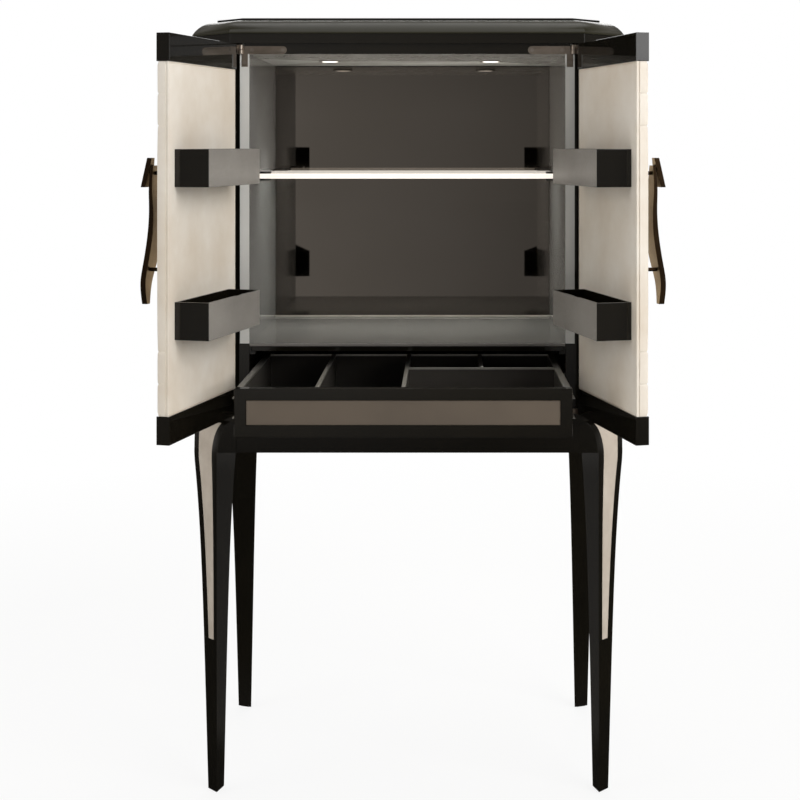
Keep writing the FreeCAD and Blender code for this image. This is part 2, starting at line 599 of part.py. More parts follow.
def make_doors():
    """Core, inner lining, outer facing with its seams, and the dark rails above and below."""
    lining_back = PANEL_INNER_Y - LINING_THICK
    facing_front = PANEL_OUTER_Y + FACING_THICK
    cloth_x = DOOR_HINGE_X - DOOR_STRIP
    core = box(DOOR_FREE_X + FACING_THICK, cloth_x, facing_front, lining_back, PANEL_BOTTOM, PANEL_TOP)
    strip = box(cloth_x, DOOR_HINGE_X, PANEL_OUTER_Y, PANEL_INNER_Y, PANEL_BOTTOM, PANEL_TOP)
    store_door_piece("door_core", core.fuse(strip).removeSplitter())
    store_door_piece("door_lining", box(DOOR_FREE_X, cloth_x, lining_back, PANEL_INNER_Y,
                                        PANEL_BOTTOM, PANEL_TOP))
    facing = box(DOOR_FREE_X, cloth_x, PANEL_OUTER_Y, facing_front, PANEL_BOTTOM, PANEL_TOP)
    facing = facing.fuse(box(DOOR_FREE_X, DOOR_FREE_X + FACING_THICK, facing_front, lining_back,
                             PANEL_BOTTOM, PANEL_TOP)).removeSplitter()
    pitch = (PANEL_TOP - PANEL_BOTTOM) / FACING_ROWS
    seams = []
    for number in SEAM_ROWS:
        z = PANEL_BOTTOM + pitch * number
        mouth = PANEL_OUTER_Y - OVERSHOOT
        seams.append(side_profile([(mouth, z - SEAM_WIDTH), (PANEL_OUTER_Y + SEAM_DEPTH, z),
                                   (mouth, z + SEAM_WIDTH)], DOOR_FREE_X - OVERSHOOT, cloth_x + OVERSHOOT))
    store_door_piece("door_facing", facing.cut(seams))
    rails = [box(DOOR_FREE_X - DOOR_END_CAP, DOOR_HINGE_X, DOOR_OUTER_Y, DOOR_INNER_Y, low, high)
             for low, high in ((DOOR_BOTTOM, PANEL_BOTTOM), (PANEL_TOP, DOOR_TOP))]
    store_door_piece("door_rails", Part.makeCompound(rails))


def make_trays():
    """Two open trays on the inner face of each door."""
    near = DOOR_FREE_X + TRAY_END_GAP
    trays = []
    for bottom in (LOWER_TRAY_BOTTOM, UPPER_TRAY_BOTTOM):
        outer = box(near, near + TRAY_LENGTH, PANEL_INNER_Y, PANEL_INNER_Y + TRAY_DEPTH,
                    bottom, bottom + TRAY_HEIGHT)
        hollow = box(near + TRAY_WALL, near + TRAY_LENGTH - TRAY_WALL, PANEL_INNER_Y + TRAY_WALL,
                     PANEL_INNER_Y + TRAY_DEPTH - TRAY_WALL, bottom + TRAY_WALL, bottom + TRAY_HEIGHT)
        trays.append(outer.cut(hollow))
    store_door_piece("door_trays", Part.makeCompound(trays))


def make_handles():
    """A cast pull on each door: a long curved blade under a short leaf, on two posts."""
    near = DOOR_FREE_X + HANDLE_EDGE_GAP
    far = near + HANDLE_WIDTH
    face = PANEL_OUTER_Y
    blade_height = HANDLE_STEM_TOP - HANDLE_BOTTOM
    lines = []
    for bar in (0.0, HANDLE_BAR):
        line = []
        for reach, height in BLADE_LINE:
            thick = bar * min(1, HANDLE_BAR_TAPER - height)
            line.append(FreeCAD.Vector(near, face - HANDLE_REACH * reach + thick,
                                       HANDLE_BOTTOM + blade_height * height))
        lines.append(line)
    edges = [Part.makeLine(lines[0][end], lines[1][end]) for end in (0, -1)]
    for line in lines:
        curve = Part.BSplineCurve()
        curve.interpolate(line)
        edges.append(curve.toShape())
    along = FreeCAD.Vector(HANDLE_WIDTH, 0, 0)
    blade = Part.Face(Part.Wire(Part.__sortEdges__(edges))).extrude(along)
    top_out, top_in = [face - HANDLE_REACH * share for share in LEAF_TOP_SHARES]
    foot_out, foot_in = [face - HANDLE_REACH * share for share in LEAF_FOOT_SHARES]
    leaf = side_profile([(top_out, HANDLE_TOP), (foot_out, HANDLE_JOIN), (foot_in, HANDLE_JOIN),
                         (top_in, HANDLE_TOP)], near, far)
    handle = biggest(blade.fuse(leaf).common(handle_outline(near, face)))
    store_door_piece("handle", handle)
    posts = []
    for z in (UPPER_POST_Z, LOWER_POST_Z):
        post = rod(POST_RADIUS, (near + POST_INSET, face, z), (0, -1, 0), HANDLE_REACH)
        posts.append(biggest_near(post.cut(handle), face))
    store_door_piece("handle_posts", Part.makeCompound(posts))


def biggest_near(shape, face):
    """The solid of a cut post that still touches the door's face."""
    return min(shape.Solids, key=lambda solid: abs(solid.BoundBox.YMax - face))


def handle_outline(near, face):
    """The handle's front view: straight on the free edge's side, bowed to a narrow tip on the other."""
    height = HANDLE_TOP - HANDLE_BOTTOM
    y = face - 2 * HANDLE_REACH
    tip = near + HANDLE_TIP_WIDTH
    bow = Part.BSplineCurve()
    bow.interpolate([FreeCAD.Vector(tip, y, HANDLE_TOP)]
                    + [FreeCAD.Vector(near + HANDLE_WIDTH * across, y, HANDLE_BOTTOM + height * up)
                       for across, up in BOW_LINE] + [FreeCAD.Vector(tip, y, HANDLE_BOTTOM)])
    corners = [FreeCAD.Vector(near, y, HANDLE_TOP), FreeCAD.Vector(near, y, HANDLE_BOTTOM)]
    edges = [bow.toShape(), Part.makeLine(*corners),
             Part.makeLine(corners[0], FreeCAD.Vector(tip, y, HANDLE_TOP)),
             Part.makeLine(corners[1], FreeCAD.Vector(tip, y, HANDLE_BOTTOM))]
    return Part.Face(Part.Wire(Part.__sortEdges__(edges))).extrude(FreeCAD.Vector(0, 2 * HANDLE_REACH, 0))


# ---- hinges -------------------------------------------------------------------------------------
def make_hinges():
    """Pivot hinges: mounts let into the fixed wood at head and foot, and a leaf with a pin on each door."""
    head, foot = head_mount(), foot_plate()
    pin_hole = rod(PIN_RADIUS + PIN_CLEARANCE, (PIVOT_X, PIVOT_Y, 0), (0, 0, 1), TOTAL_HEIGHT)
    knuckle_foot = FLOOR_TOP + HINGE_GAP
    knuckle_head = CEILING_UNDERSIDE + EYE_HEIGHT + HINGE_GAP
    room = []
    for low, high in ((FLOOR_TOP, knuckle_foot + KNUCKLE_HEIGHT + KNUCKLE_ROOM),
                      (knuckle_head - HINGE_GAP, SHELL_TOP)):
        room.append(rod(KNUCKLE_RADIUS + KNUCKLE_ROOM, (PIVOT_X, PIVOT_Y, low), (0, 0, 1), high - low))
    middle_z = CEILING_UNDERSIDE + ARM_HEIGHT / 2
    leg_z = CEILING_UNDERSIDE - SIDE_LEG_HEIGHT * SIDE_LEG_SCREW_SHARE
    arm_screws_x = (ARM_END_X + ARM_HEIGHT / 2, ARM_STEP_X - ARM_HEIGHT)
    screws = [screw((x, 0, middle_z), (0, 1, 0)) for x in arm_screws_x]
    screws.append(screw(((INNER_HALF_WIDTH + INNER_SIDE_OUT) / 2, 0, leg_z), (0, 1, 0)))
    screws.append(screw((FOOT_PLATE_X + FOOT_PLATE_HALF, PIVOT_Y, FLOOR_TOP), (0, 0, -1)))
    leaves = [hinge_leaf(knuckle_head, -1), hinge_leaf(knuckle_foot, 1)]
    cutters = [head, foot] + room + screws
    for name in ("ceiling_panel", "floor_panel"):
        parts[name] = biggest(parts[name].cut(cutters + [mirrored(cutter) for cutter in cutters]))
    side = biggest(parts["right_inner_side"].cut(cutters))
    parts["right_inner_side"] = side
    parts["left_inner_side"] = mirrored(side)
    mounts = [biggest(mount.cut([pin_hole] + screws)) for mount in (head, foot)]
    parts["hinge_mounts"] = Part.makeCompound(mounts + [mirrored(mount) for mount in mounts])
    parts["hinge_screws"] = Part.makeCompound(screws + [mirrored(piece) for piece in screws])
    store_door_piece("hinge_leaves", Part.makeCompound(leaves))


def head_mount():
    """The right head mount before its holes: a round-nosed arm, an eye on the pin and a leg down the side."""
    low = CEILING_UNDERSIDE
    nose_radius = ARM_HEIGHT / 2
    nose_x = ARM_END_X + nose_radius
    arm = box(nose_x, ARM_STEP_X, 0, ARM_THICK, low, low + ARM_HEIGHT)
    nose = rod(nose_radius, (nose_x, 0, low + nose_radius), (0, 1, 0), ARM_THICK)
    neck = box(ARM_STEP_X, PIVOT_X, 0, ARM_THICK, low, low + EYE_HEIGHT)
    eye = rod(KNUCKLE_RADIUS, (PIVOT_X, PIVOT_Y, low), (0, 0, 1), EYE_HEIGHT)
    leg = box(INNER_HALF_WIDTH + SIDE_LEG_MARGIN, INNER_SIDE_OUT - SIDE_LEG_MARGIN, 0, ARM_THICK,
              low - SIDE_LEG_HEIGHT, low)
    return arm.fuse([nose, neck, eye, leg]).removeSplitter()


def foot_plate():
    """The right foot plate before its holes."""
    return box(FOOT_PLATE_X, PIVOT_X + FOOT_PLATE_HALF, PIVOT_Y - FOOT_PLATE_HALF,
               PIVOT_Y + FOOT_PLATE_HALF, FLOOR_TOP - FOOT_PLATE_THICK, FLOOR_TOP)


def screw(base, direction):
    """A flat-headed screw, head at base, pointing along direction."""
    head = rod(SCREW_HEAD_RADIUS, base, direction, SCREW_HEAD_THICK)
    return head.fuse(rod(SCREW_RADIUS, base, direction, SCREW_LENGTH))


def hinge_leaf(low, plate_way):
    """A leaf of the closed right door: knuckle from low up, arm, edge plate (up or down) and pin."""
    high = low + KNUCKLE_HEIGHT
    front = PIVOT_Y - KNUCKLE_RADIUS
    knuckle = rod(KNUCKLE_RADIUS, (PIVOT_X, PIVOT_Y, low), (0, 0, 1), KNUCKLE_HEIGHT)
    arm = box(DOOR_HINGE_X, PIVOT_X, front, front + LEAF_THICK, low, high)
    plate_low = high - LEAF_HEIGHT if plate_way < 0 else low + DOOR_BOTTOM - FLOOR_TOP
    plate_high = high if plate_way < 0 else low + LEAF_HEIGHT
    plate = box(DOOR_HINGE_X, DOOR_HINGE_X + LEAF_THICK, DOOR_OUTER_Y + LEAF_THICK, front + LEAF_THICK,
                plate_low, plate_high)
    pin_length = EYE_HEIGHT if plate_way < 0 else FOOT_PLATE_THICK
    pin = rod(PIN_RADIUS, (PIVOT_X, PIVOT_Y, low), (0, 0, -1), pin_length)
    return knuckle.fuse([arm, plate, pin]).removeSplitter()


# ---- drawer -------------------------------------------------------------------------------------
def make_drawer():
    """Front with its inlay, box with dividers, and the bright rims along their tops."""
    face = DRAWER_FRONT_FACE
    inlay_back = face + DRAWER_INLAY_RECESS + DRAWER_INLAY_THICK
    inlay_half = DRAWER_HALF_WIDTH - DRAWER_FRAME_BAR
    inlay_low, inlay_high = DRAWER_BOTTOM_Z + DRAWER_FRAME_BAR, DRAWER_TOP_Z - DRAWER_FRAME_BAR
    front = box(-DRAWER_HALF_WIDTH, DRAWER_HALF_WIDTH, face, BOX_FRONT_Y, DRAWER_BOTTOM_Z, DRAWER_TOP_Z)
    parts["drawer_front"] = front.cut(box(-inlay_half, inlay_half, face, inlay_back, inlay_low, inlay_high))
    parts["drawer_inlay"] = box(-inlay_half, inlay_half, face + DRAWER_INLAY_RECESS, inlay_back,
                                inlay_low, inlay_high)
    parts["drawer_sides"] = both(box(BOX_INNER_HALF, BOX_HALF_WIDTH, BOX_FRONT_Y, BOX_BACK_Y,
                                     BOX_UNDERSIDE, WALL_TOP))
    back_y = BOX_BACK_Y - BOX_WALL
    parts["drawer_back"] = box(-BOX_INNER_HALF, BOX_INNER_HALF, back_y, BOX_BACK_Y, BOX_UNDERSIDE, WALL_TOP)
    parts["drawer_floor"] = box(-BOX_INNER_HALF, BOX_INNER_HALF, BOX_FRONT_Y, back_y,
                                BOX_UNDERSIDE, BOX_FLOOR_TOP)
    parts["drawer_dividers"] = Part.makeCompound(divider_set(DIVIDER_THICK / 2, BOX_FLOOR_TOP, WALL_TOP))
    rims = divider_set(DIVIDER_RIM / 2, WALL_TOP, DRAWER_TOP_Z)
    side_rim = box(BOX_INNER_HALF, BOX_HALF_WIDTH, BOX_FRONT_Y, BOX_BACK_Y, WALL_TOP, DRAWER_TOP_Z)
    back_rim = box(-BOX_INNER_HALF, BOX_INNER_HALF, back_y, BOX_BACK_Y, WALL_TOP, DRAWER_TOP_Z)
    parts["drawer_rims"] = Part.makeCompound(rims + [side_rim, mirrored(side_rim), back_rim])


def divider_set(half, low, high):
    """Two long dividers, the cross divider of the right half and the short one behind it."""
    back_y = BOX_BACK_Y - BOX_WALL
    cross_y = BOX_FRONT_Y + CROSS_DIVIDER_AT
    long_ones = [box(x - half, x + half, BOX_FRONT_Y, back_y, low, high) for x in (LEFT_DIVIDER_X, 0.0)]
    cross = box(half, BOX_INNER_HALF, cross_y - half, cross_y + half, low, high)
    short = box(RIGHT_DIVIDER_X - half, RIGHT_DIVIDER_X + half, cross_y + half, back_y, low, high)
    return long_ones + [cross, short]


def make_runners():
    """Telescopic drawer runners: a fixed channel, a middle channel and a drawer channel on each side."""
    step = RUNNER_SHEET + RUNNER_PLAY
    tip = BOX_HALF_WIDTH + RUNNER_TIP_GAP
    half = RUNNER_HALF_HEIGHT
    middle_front = RUNNER_FRONT - DRAWER_TRAVEL / 2
    parts["runner_rails"] = channel(INNER_HALF_WIDTH, tip, half, RUNNER_FRONT, RUNNER_FRONT + RUNNER_LENGTH)
    parts["runner_middles"] = channel(INNER_HALF_WIDTH - step, tip, half - step, middle_front,
                                      middle_front + RUNNER_LENGTH)
    parts["runner_slides"] = channel(BOX_HALF_WIDTH, INNER_HALF_WIDTH - 2 * step, half - 2 * step,
                                     BOX_FRONT_Y, BOX_BACK_Y)


def channel(web_x, tip_x, half, front, back):
    """A pair of C-shaped channels, with the web at web_x and the flanges reaching to tip_x."""
    inner_x = web_x + math.copysign(RUNNER_SHEET, tip_x - web_x)
    inner = half - RUNNER_SHEET
    profile = [(web_x, -half), (tip_x, -half), (tip_x, -inner), (inner_x, -inner),
               (inner_x, inner), (tip_x, inner), (tip_x, half), (web_x, half)]
    points = [FreeCAD.Vector(x, front, RUNNER_MIDDLE_Z + z) for x, z in profile]
    face = Part.Face(Part.makePolygon(points + points[:1]))
    return both(face.extrude(FreeCAD.Vector(0, back - front, 0)))


def main():
    """Make every piece, centre the whole on its stored size and write one STEP file for each piece."""
    for make in (make_top, make_shell, make_compartment, make_serving_shelf, make_legs, make_leg_frame,
                 make_doors, make_trays, make_handles, make_hinges, make_drawer, make_runners):
        make()
    bounds = FreeCAD.BoundBox()
    for shape in parts.values():
        bounds.add(shape.optimalBoundingBox(False))
    move = FreeCAD.Vector(0, -(bounds.YMin + bounds.YMax) / 2, 0)
    os.makedirs("parts", exist_ok=True)
    for name, shape in parts.items():
        shape.translated(move).exportStep("parts/" + name + ".step")
    print("moved by", round(move.y, 4), "mm along Y; size", round(bounds.XLength, 3),
          round(bounds.YLength, 3), round(bounds.ZLength, 3))


main()
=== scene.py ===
"""Looks of the bar cabinet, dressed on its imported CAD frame.

Lengths in the classes are millimetres, in the drawing's own axes: X to the right, Z up from the floor
and Y = 0 on the front edges of the inner sides.  Drawing.place turns them into the frame's metres.
"""
from __future__ import annotations

import logging
import math
from dataclasses import dataclass
from enum import Enum
from typing import Callable, Iterable, Sequence

import bmesh
import bpy
from bpy.types import Material, Mesh, MeshPolygon, Node, NodeSocket, NodeTree, Object
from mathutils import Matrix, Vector

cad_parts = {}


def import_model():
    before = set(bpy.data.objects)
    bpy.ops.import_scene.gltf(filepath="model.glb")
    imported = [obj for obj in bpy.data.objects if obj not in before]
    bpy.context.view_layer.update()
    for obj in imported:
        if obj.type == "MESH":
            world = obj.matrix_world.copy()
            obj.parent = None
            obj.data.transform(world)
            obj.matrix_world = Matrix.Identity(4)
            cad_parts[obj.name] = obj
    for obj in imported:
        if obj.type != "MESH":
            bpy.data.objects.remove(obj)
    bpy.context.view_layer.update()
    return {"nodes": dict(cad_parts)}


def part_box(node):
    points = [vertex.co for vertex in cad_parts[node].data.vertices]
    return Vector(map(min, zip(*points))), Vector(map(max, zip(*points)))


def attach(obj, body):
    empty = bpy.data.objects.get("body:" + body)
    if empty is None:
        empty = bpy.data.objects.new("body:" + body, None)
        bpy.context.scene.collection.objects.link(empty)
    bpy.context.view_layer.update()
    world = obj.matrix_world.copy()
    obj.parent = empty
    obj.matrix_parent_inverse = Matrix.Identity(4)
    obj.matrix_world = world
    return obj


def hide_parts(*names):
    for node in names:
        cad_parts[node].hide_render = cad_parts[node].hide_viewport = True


LOG = logging.getLogger("bar_cabinet")
MM = 0.001
SAME_PLACE = 0.00001  # points closer than this, in metres, are one
SAME_FLAT = 0.4  # faces that meet at less than this, in degrees, are one
SQUARELY = 0.9  # how far a face's normal has to lie along an axis to count as looking that way
DIAGONAL = math.sqrt(0.5)  # share of a length at 45 degrees that lies along X or Y
NOISE_SPAN = (0.3, 0.7)  # nearly all of a noise texture lies between these values
WHITE = "#ffffff"
Pair = tuple[float, float]
Triple = tuple[float, float, float]
Rings = list[list[Vector]]


class Side(Enum):
    """The two sides of the cabinet, with the sign of X on each."""

    LEFT = -1
    RIGHT = 1

    @property
    def word(self) -> str:
        """The side's name as the nodes spell it."""
        return self.name.lower()


class Depth(Enum):
    """The front and the rear of the cabinet."""

    FRONT = "front"
    REAR = "rear"


# ---- nodes and colours ----
def linear(hex_colour: str, alpha: float = 1.0) -> tuple[float, float, float, float]:
    """Turn an sRGB hex colour into the linear values that Blender's sockets take.

    Args:
        hex_colour: six hex digits after a hash.
        alpha: the fourth value.

    Returns:
        Red, green, blue and alpha.
    """
    values = []
    for start in (1, 3, 5):
        level = int(hex_colour[start:start + 2], 16) / 255
        values.append(level / 12.92 if level <= 0.04045 else ((level + 0.055) / 1.055) ** 2.4)
    return (*values, alpha)


def feed(tree: NodeTree, node: Node, inputs: dict) -> None:
    """Give a node's sockets their values and links.

    Args:
        tree: the node tree that holds the node.
        node: the node.
        inputs: socket name or number to a value, to the output that feeds it, or to a node whose first
            output does.
    """
    for name, value in inputs.items():
        if isinstance(value, (Node, NodeSocket)):
            tree.links.new(value.outputs[0] if isinstance(value, Node) else value, node.inputs[name])
        else:
            node.inputs[name].default_value = value


def add_node(tree: NodeTree, kind: str, inputs: dict | None = None, **settings: object) -> Node:
    """Add one node, with its settings, its socket values and its links.

    Args:
        tree: the node tree that gets the node.
        kind: the node's type name.
        inputs: what its sockets get, as for feed.
        settings: attributes of the node.

    Returns:
        The new node.
    """
    node = tree.nodes.new(kind)
    for name, value in settings.items():
        setattr(node, name, value)
    feed(tree, node, inputs or {})
    return node


@dataclass(frozen=True)
class Surface:
    """A material in the making: its node tree, its shader and the object's coordinates."""

    tree: NodeTree
    shader: Node
    where: NodeSocket

    def patches(self, size_mm: float, low: float = 0.0, high: float = 1.0, detail: float = 2.0,
                stretch: Triple = (1, 1, 1)) -> Node:
        """Soft patches about size_mm across, as a value from low to high.

        Args:
            size_mm: size of a patch in millimetres.
            low: the lowest value.
            high: the highest value.
            detail: octaves of finer noise.
            stretch: how much closer the patches lie along X, Y and Z.

        Returns:
            The node that gives the value.
        """
        scale = [share / (size_mm * MM) for share in stretch]
        spread = add_node(self.tree, "ShaderNodeMapping", {"Vector": self.where, "Scale": scale})
        cloud = add_node(self.tree, "ShaderNodeTexNoise",
                         {"Vector": spread, "Scale": 1.0, "Detail": detail})
        return add_node(self.tree, "ShaderNodeMapRange", {
            "Value": cloud.outputs["Fac"], "From Min": NOISE_SPAN[0], "From Max": NOISE_SPAN[1],
            "To Min": low, "To Max": high})


@dataclass(frozen=True)
class Finish:
    """A finish: constant shader values, and a colour that drifts slowly between two tones."""

    name: str
    slot: str
    colour: str
    second: str
    roughness: float = 0.4
    metallic: float = 0.0
    ior: float = 1.5
    drift_mm: float = 180.0
    drift_detail: float = 3.0
    grain_mm: float = 1.0  # size of the marks that stand out of the surface
    relief_mm: float = 0.0  # how far they stand out

    def make(self) -> Material:
        """Build the material.

        Returns:
            The finished material.
        """
        material = bpy.data.materials.new(self.name)
        material.use_nodes = True
        tree = material.node_tree
        shader = tree.nodes["Principled BSDF"]
        surface = Surface(tree, shader, add_node(tree, "ShaderNodeTexCoord").outputs["Object"])
        tones = add_node(tree, "ShaderNodeMix", {
            0: self.drift(surface), 6: linear(self.colour), 7: linear(self.second)}, data_type="RGBA")
        inputs = {"Base Color": tones.outputs[2], "Roughness": self.roughness, "Metallic": self.metallic}
        if not self.metallic:
            inputs["IOR"] = self.ior
        inputs |= self.pattern(surface)
        if "Height" in inputs:
            inputs["Normal"] = add_node(tree, "ShaderNodeBump", {
                "Height": inputs.pop("Height"), "Distance": self.relief_mm * MM})
        feed(tree, shader, inputs)
        return material

    def drift(self, surface: Surface) -> Node:
        """How far the colour has gone from the first tone to the second."""
        return surface.patches(self.drift_mm, detail=self.drift_detail)

    def pattern(self, surface: Surface) -> dict:
        """What else the shader gets, and the height of marks in the surface.  Here, nothing."""
        return {}


@dataclass(frozen=True)
class GlossLacquer(Finish):
    """Polyester lacquer, sprayed and buffed: deep and glossy, with the faint ripple of a spray coat."""

    grain_mm: float = 22.0
    relief_mm: float = 0.003
    haze_mm: float = 45.0
    haze_span: Pair = (0.8, 1.35)  # least and most haze, as shares of the roughness
    haze_detail: float = 4.0

    def pattern(self, surface: Surface) -> dict:
        """Haze from buffing, and a spray ripple."""
        low, high = self.haze_span
        haze = surface.patches(self.haze_mm, self.roughness * low, self.roughness * high,
                               self.haze_detail)
        return {"Roughness": haze, "Height": surface.patches(self.grain_mm, detail=1)}


@dataclass(frozen=True)
class Parchment(Finish):
    """Goatskin parchment under a satin coat: cloudy skin with thin veins and a fine pebble grain."""

    drift_detail: float = 5.0
    grain_mm: float = 0.8
    relief_mm: float = 0.025
    cloud_span: Pair = (0.1, 0.9)  # how far clouds take the colour from the first tone to the second
    vein_span: Pair = (-0.1, 0.1)  # what veins add to that
    vein_share: float = 0.2  # a vein's size, as a share of a cloud's
    vein_detail: float = 6.0
    coat_share: float = 0.25  # size of an uneven place in the coat, as a share of a cloud's
    coat_span: Pair = (-0.06, 0.08)
    sheen: float = 0.08

    def drift(self, surface: Surface) -> Node:
        """Clouds of tone with thin veins in them."""
        cloud = surface.patches(self.drift_mm, *self.cloud_span, self.drift_detail)
        vein = surface.patches(self.drift_mm * self.vein_share, *self.vein_span, self.vein_detail)
        return add_node(surface.tree, "ShaderNodeMath", {0: cloud, 1: vein}, operation="ADD")

    def pattern(self, surface: Surface) -> dict:
        """An uneven satin coat, and the pebble grain."""
        low, high = self.coat_span
        coat = surface.patches(self.drift_mm * self.coat_share, self.roughness + low,
                               self.roughness + high, self.drift_detail)
        pebble = add_node(surface.tree, "ShaderNodeTexVoronoi",
                          {"Vector": surface.where, "Scale": 1 / (self.grain_mm * MM)}, feature="SMOOTH_F1")
        return {"Sheen Weight": self.sheen, "Roughness": coat, "Height": pebble.outputs["Distance"]}


@dataclass(frozen=True)
class SatinLacquer(Finish):
    """Satin lacquer with fine metal flake, sprayed over board: a soft sheen that drifts along the panel."""

    grain_mm: float = 0.7  # real flake is far finer; this is as fine as shows
    relief_mm: float = 0.02
    gloss_span: Pair = (-0.04, 0.05)

    def pattern(self, surface: Surface) -> dict:
        """The fine grain, both in the gloss and as a height."""
        low, high = self.gloss_span
        grain = surface.patches(self.grain_mm, self.roughness + low, self.roughness + high)
        return {"Roughness": grain, "Height": grain}


@dataclass(frozen=True)
class MouldedPlastic(SatinLacquer):
    """Moulded nylon: matt, with a spark-eroded grain."""

    grain_mm: float = 0.3
    relief_mm: float = 0.1
    gloss_span: Pair = (-0.05, 0.05)


@dataclass(frozen=True)
class Metal(Finish):
    """A worked metal: brushed, cast or plated, by how coarse and how deep its marks are."""

    metallic: float = 1.0
    drift_mm: float = 38.0
    drift_detail: float = 4.0
    grain_mm: float = 1.2
    relief_mm: float = 0.005
    gloss_span: Pair = (-0.05, 0.08)
    stretch: Triple = (1, 1, 1)

    def pattern(self, surface: Surface) -> dict:
        """The marks of the tool."""
        low, high = self.gloss_span
        marks = surface.patches(self.grain_mm, stretch=self.stretch)
        rough = add_node(surface.tree, "ShaderNodeMapRange", {
            "Value": marks, "To Min": self.roughness + low, "To Max": self.roughness + high})
        return {"Roughness": rough, "Height": marks}


@dataclass(frozen=True)
class SmokedMirror(Finish):
    """Silvered grey float glass: a dark, sharp mirror with a breath of haze."""

    metallic: float = 1.0
    drift_mm: float = 400.0
    haze_mm: float = 220.0
    haze: float = 0.02

    def pattern(self, surface: Surface) -> dict:
        """A trace of uneven polish."""
        high = self.roughness + self.haze
        return {"Roughness": surface.patches(self.haze_mm, self.roughness, high, self.drift_detail)}


@dataclass(frozen=True)
class ClearGlass(SmokedMirror):
    """Low-iron float glass, clear through its faces; an edge or a face can get a painted glow, standing in
    for the light that falls on it.
    """

    metallic: float = 0.0
    drift_mm: float = 180.0
    haze_mm: float = 60.0
    haze: float = 0.015
    # strength of the painted glow that stands in for light falling on the glass; none for plain glass
    glow: float = 0.0
    glow_colour: str = "#fff6ea"
    shadow_colour: str = "#e8ecea"  # what it leaves of the light that falls through it

    def pattern(self, surface: Surface) -> dict:
        """Transmission, with light let through for shadows, a trace of wiping marks, and the painted glow."""
        tree = surface.tree
        shadow = add_node(tree, "ShaderNodeLightPath").outputs["Is Shadow Ray"]
        clear = add_node(tree, "ShaderNodeBsdfTransparent", {"Color": linear(self.shadow_colour)})
        mix = add_node(tree, "ShaderNodeMixShader", {"Fac": shadow, 1: surface.shader, 2: clear})
        feed(tree, tree.nodes["Material Output"], {"Surface": mix})
        return super().pattern(surface) | {
            "Transmission Weight": 1.0, "Emission Color": linear(self.glow_colour),
            "Emission Strength": self.glow}


@dataclass(frozen=True)
class OpalAcrylic(Finish):
    """Opal acrylic over a lamp: a soft white that glows."""

    glow: float = 1.0
    cloud_mm: float = 30.0

    def pattern(self, surface: Surface) -> dict:
        """A glow that is a little uneven, as a diffuser is."""
        cloud = add_node(surface.tree, "ShaderNodeMix", {
            0: surface.patches(self.cloud_mm), 6: linear(self.colour), 7: linear(WHITE)},
            data_type="RGBA")
        return {"Emission Color": cloud.outputs[2], "Emission Strength": self.glow}


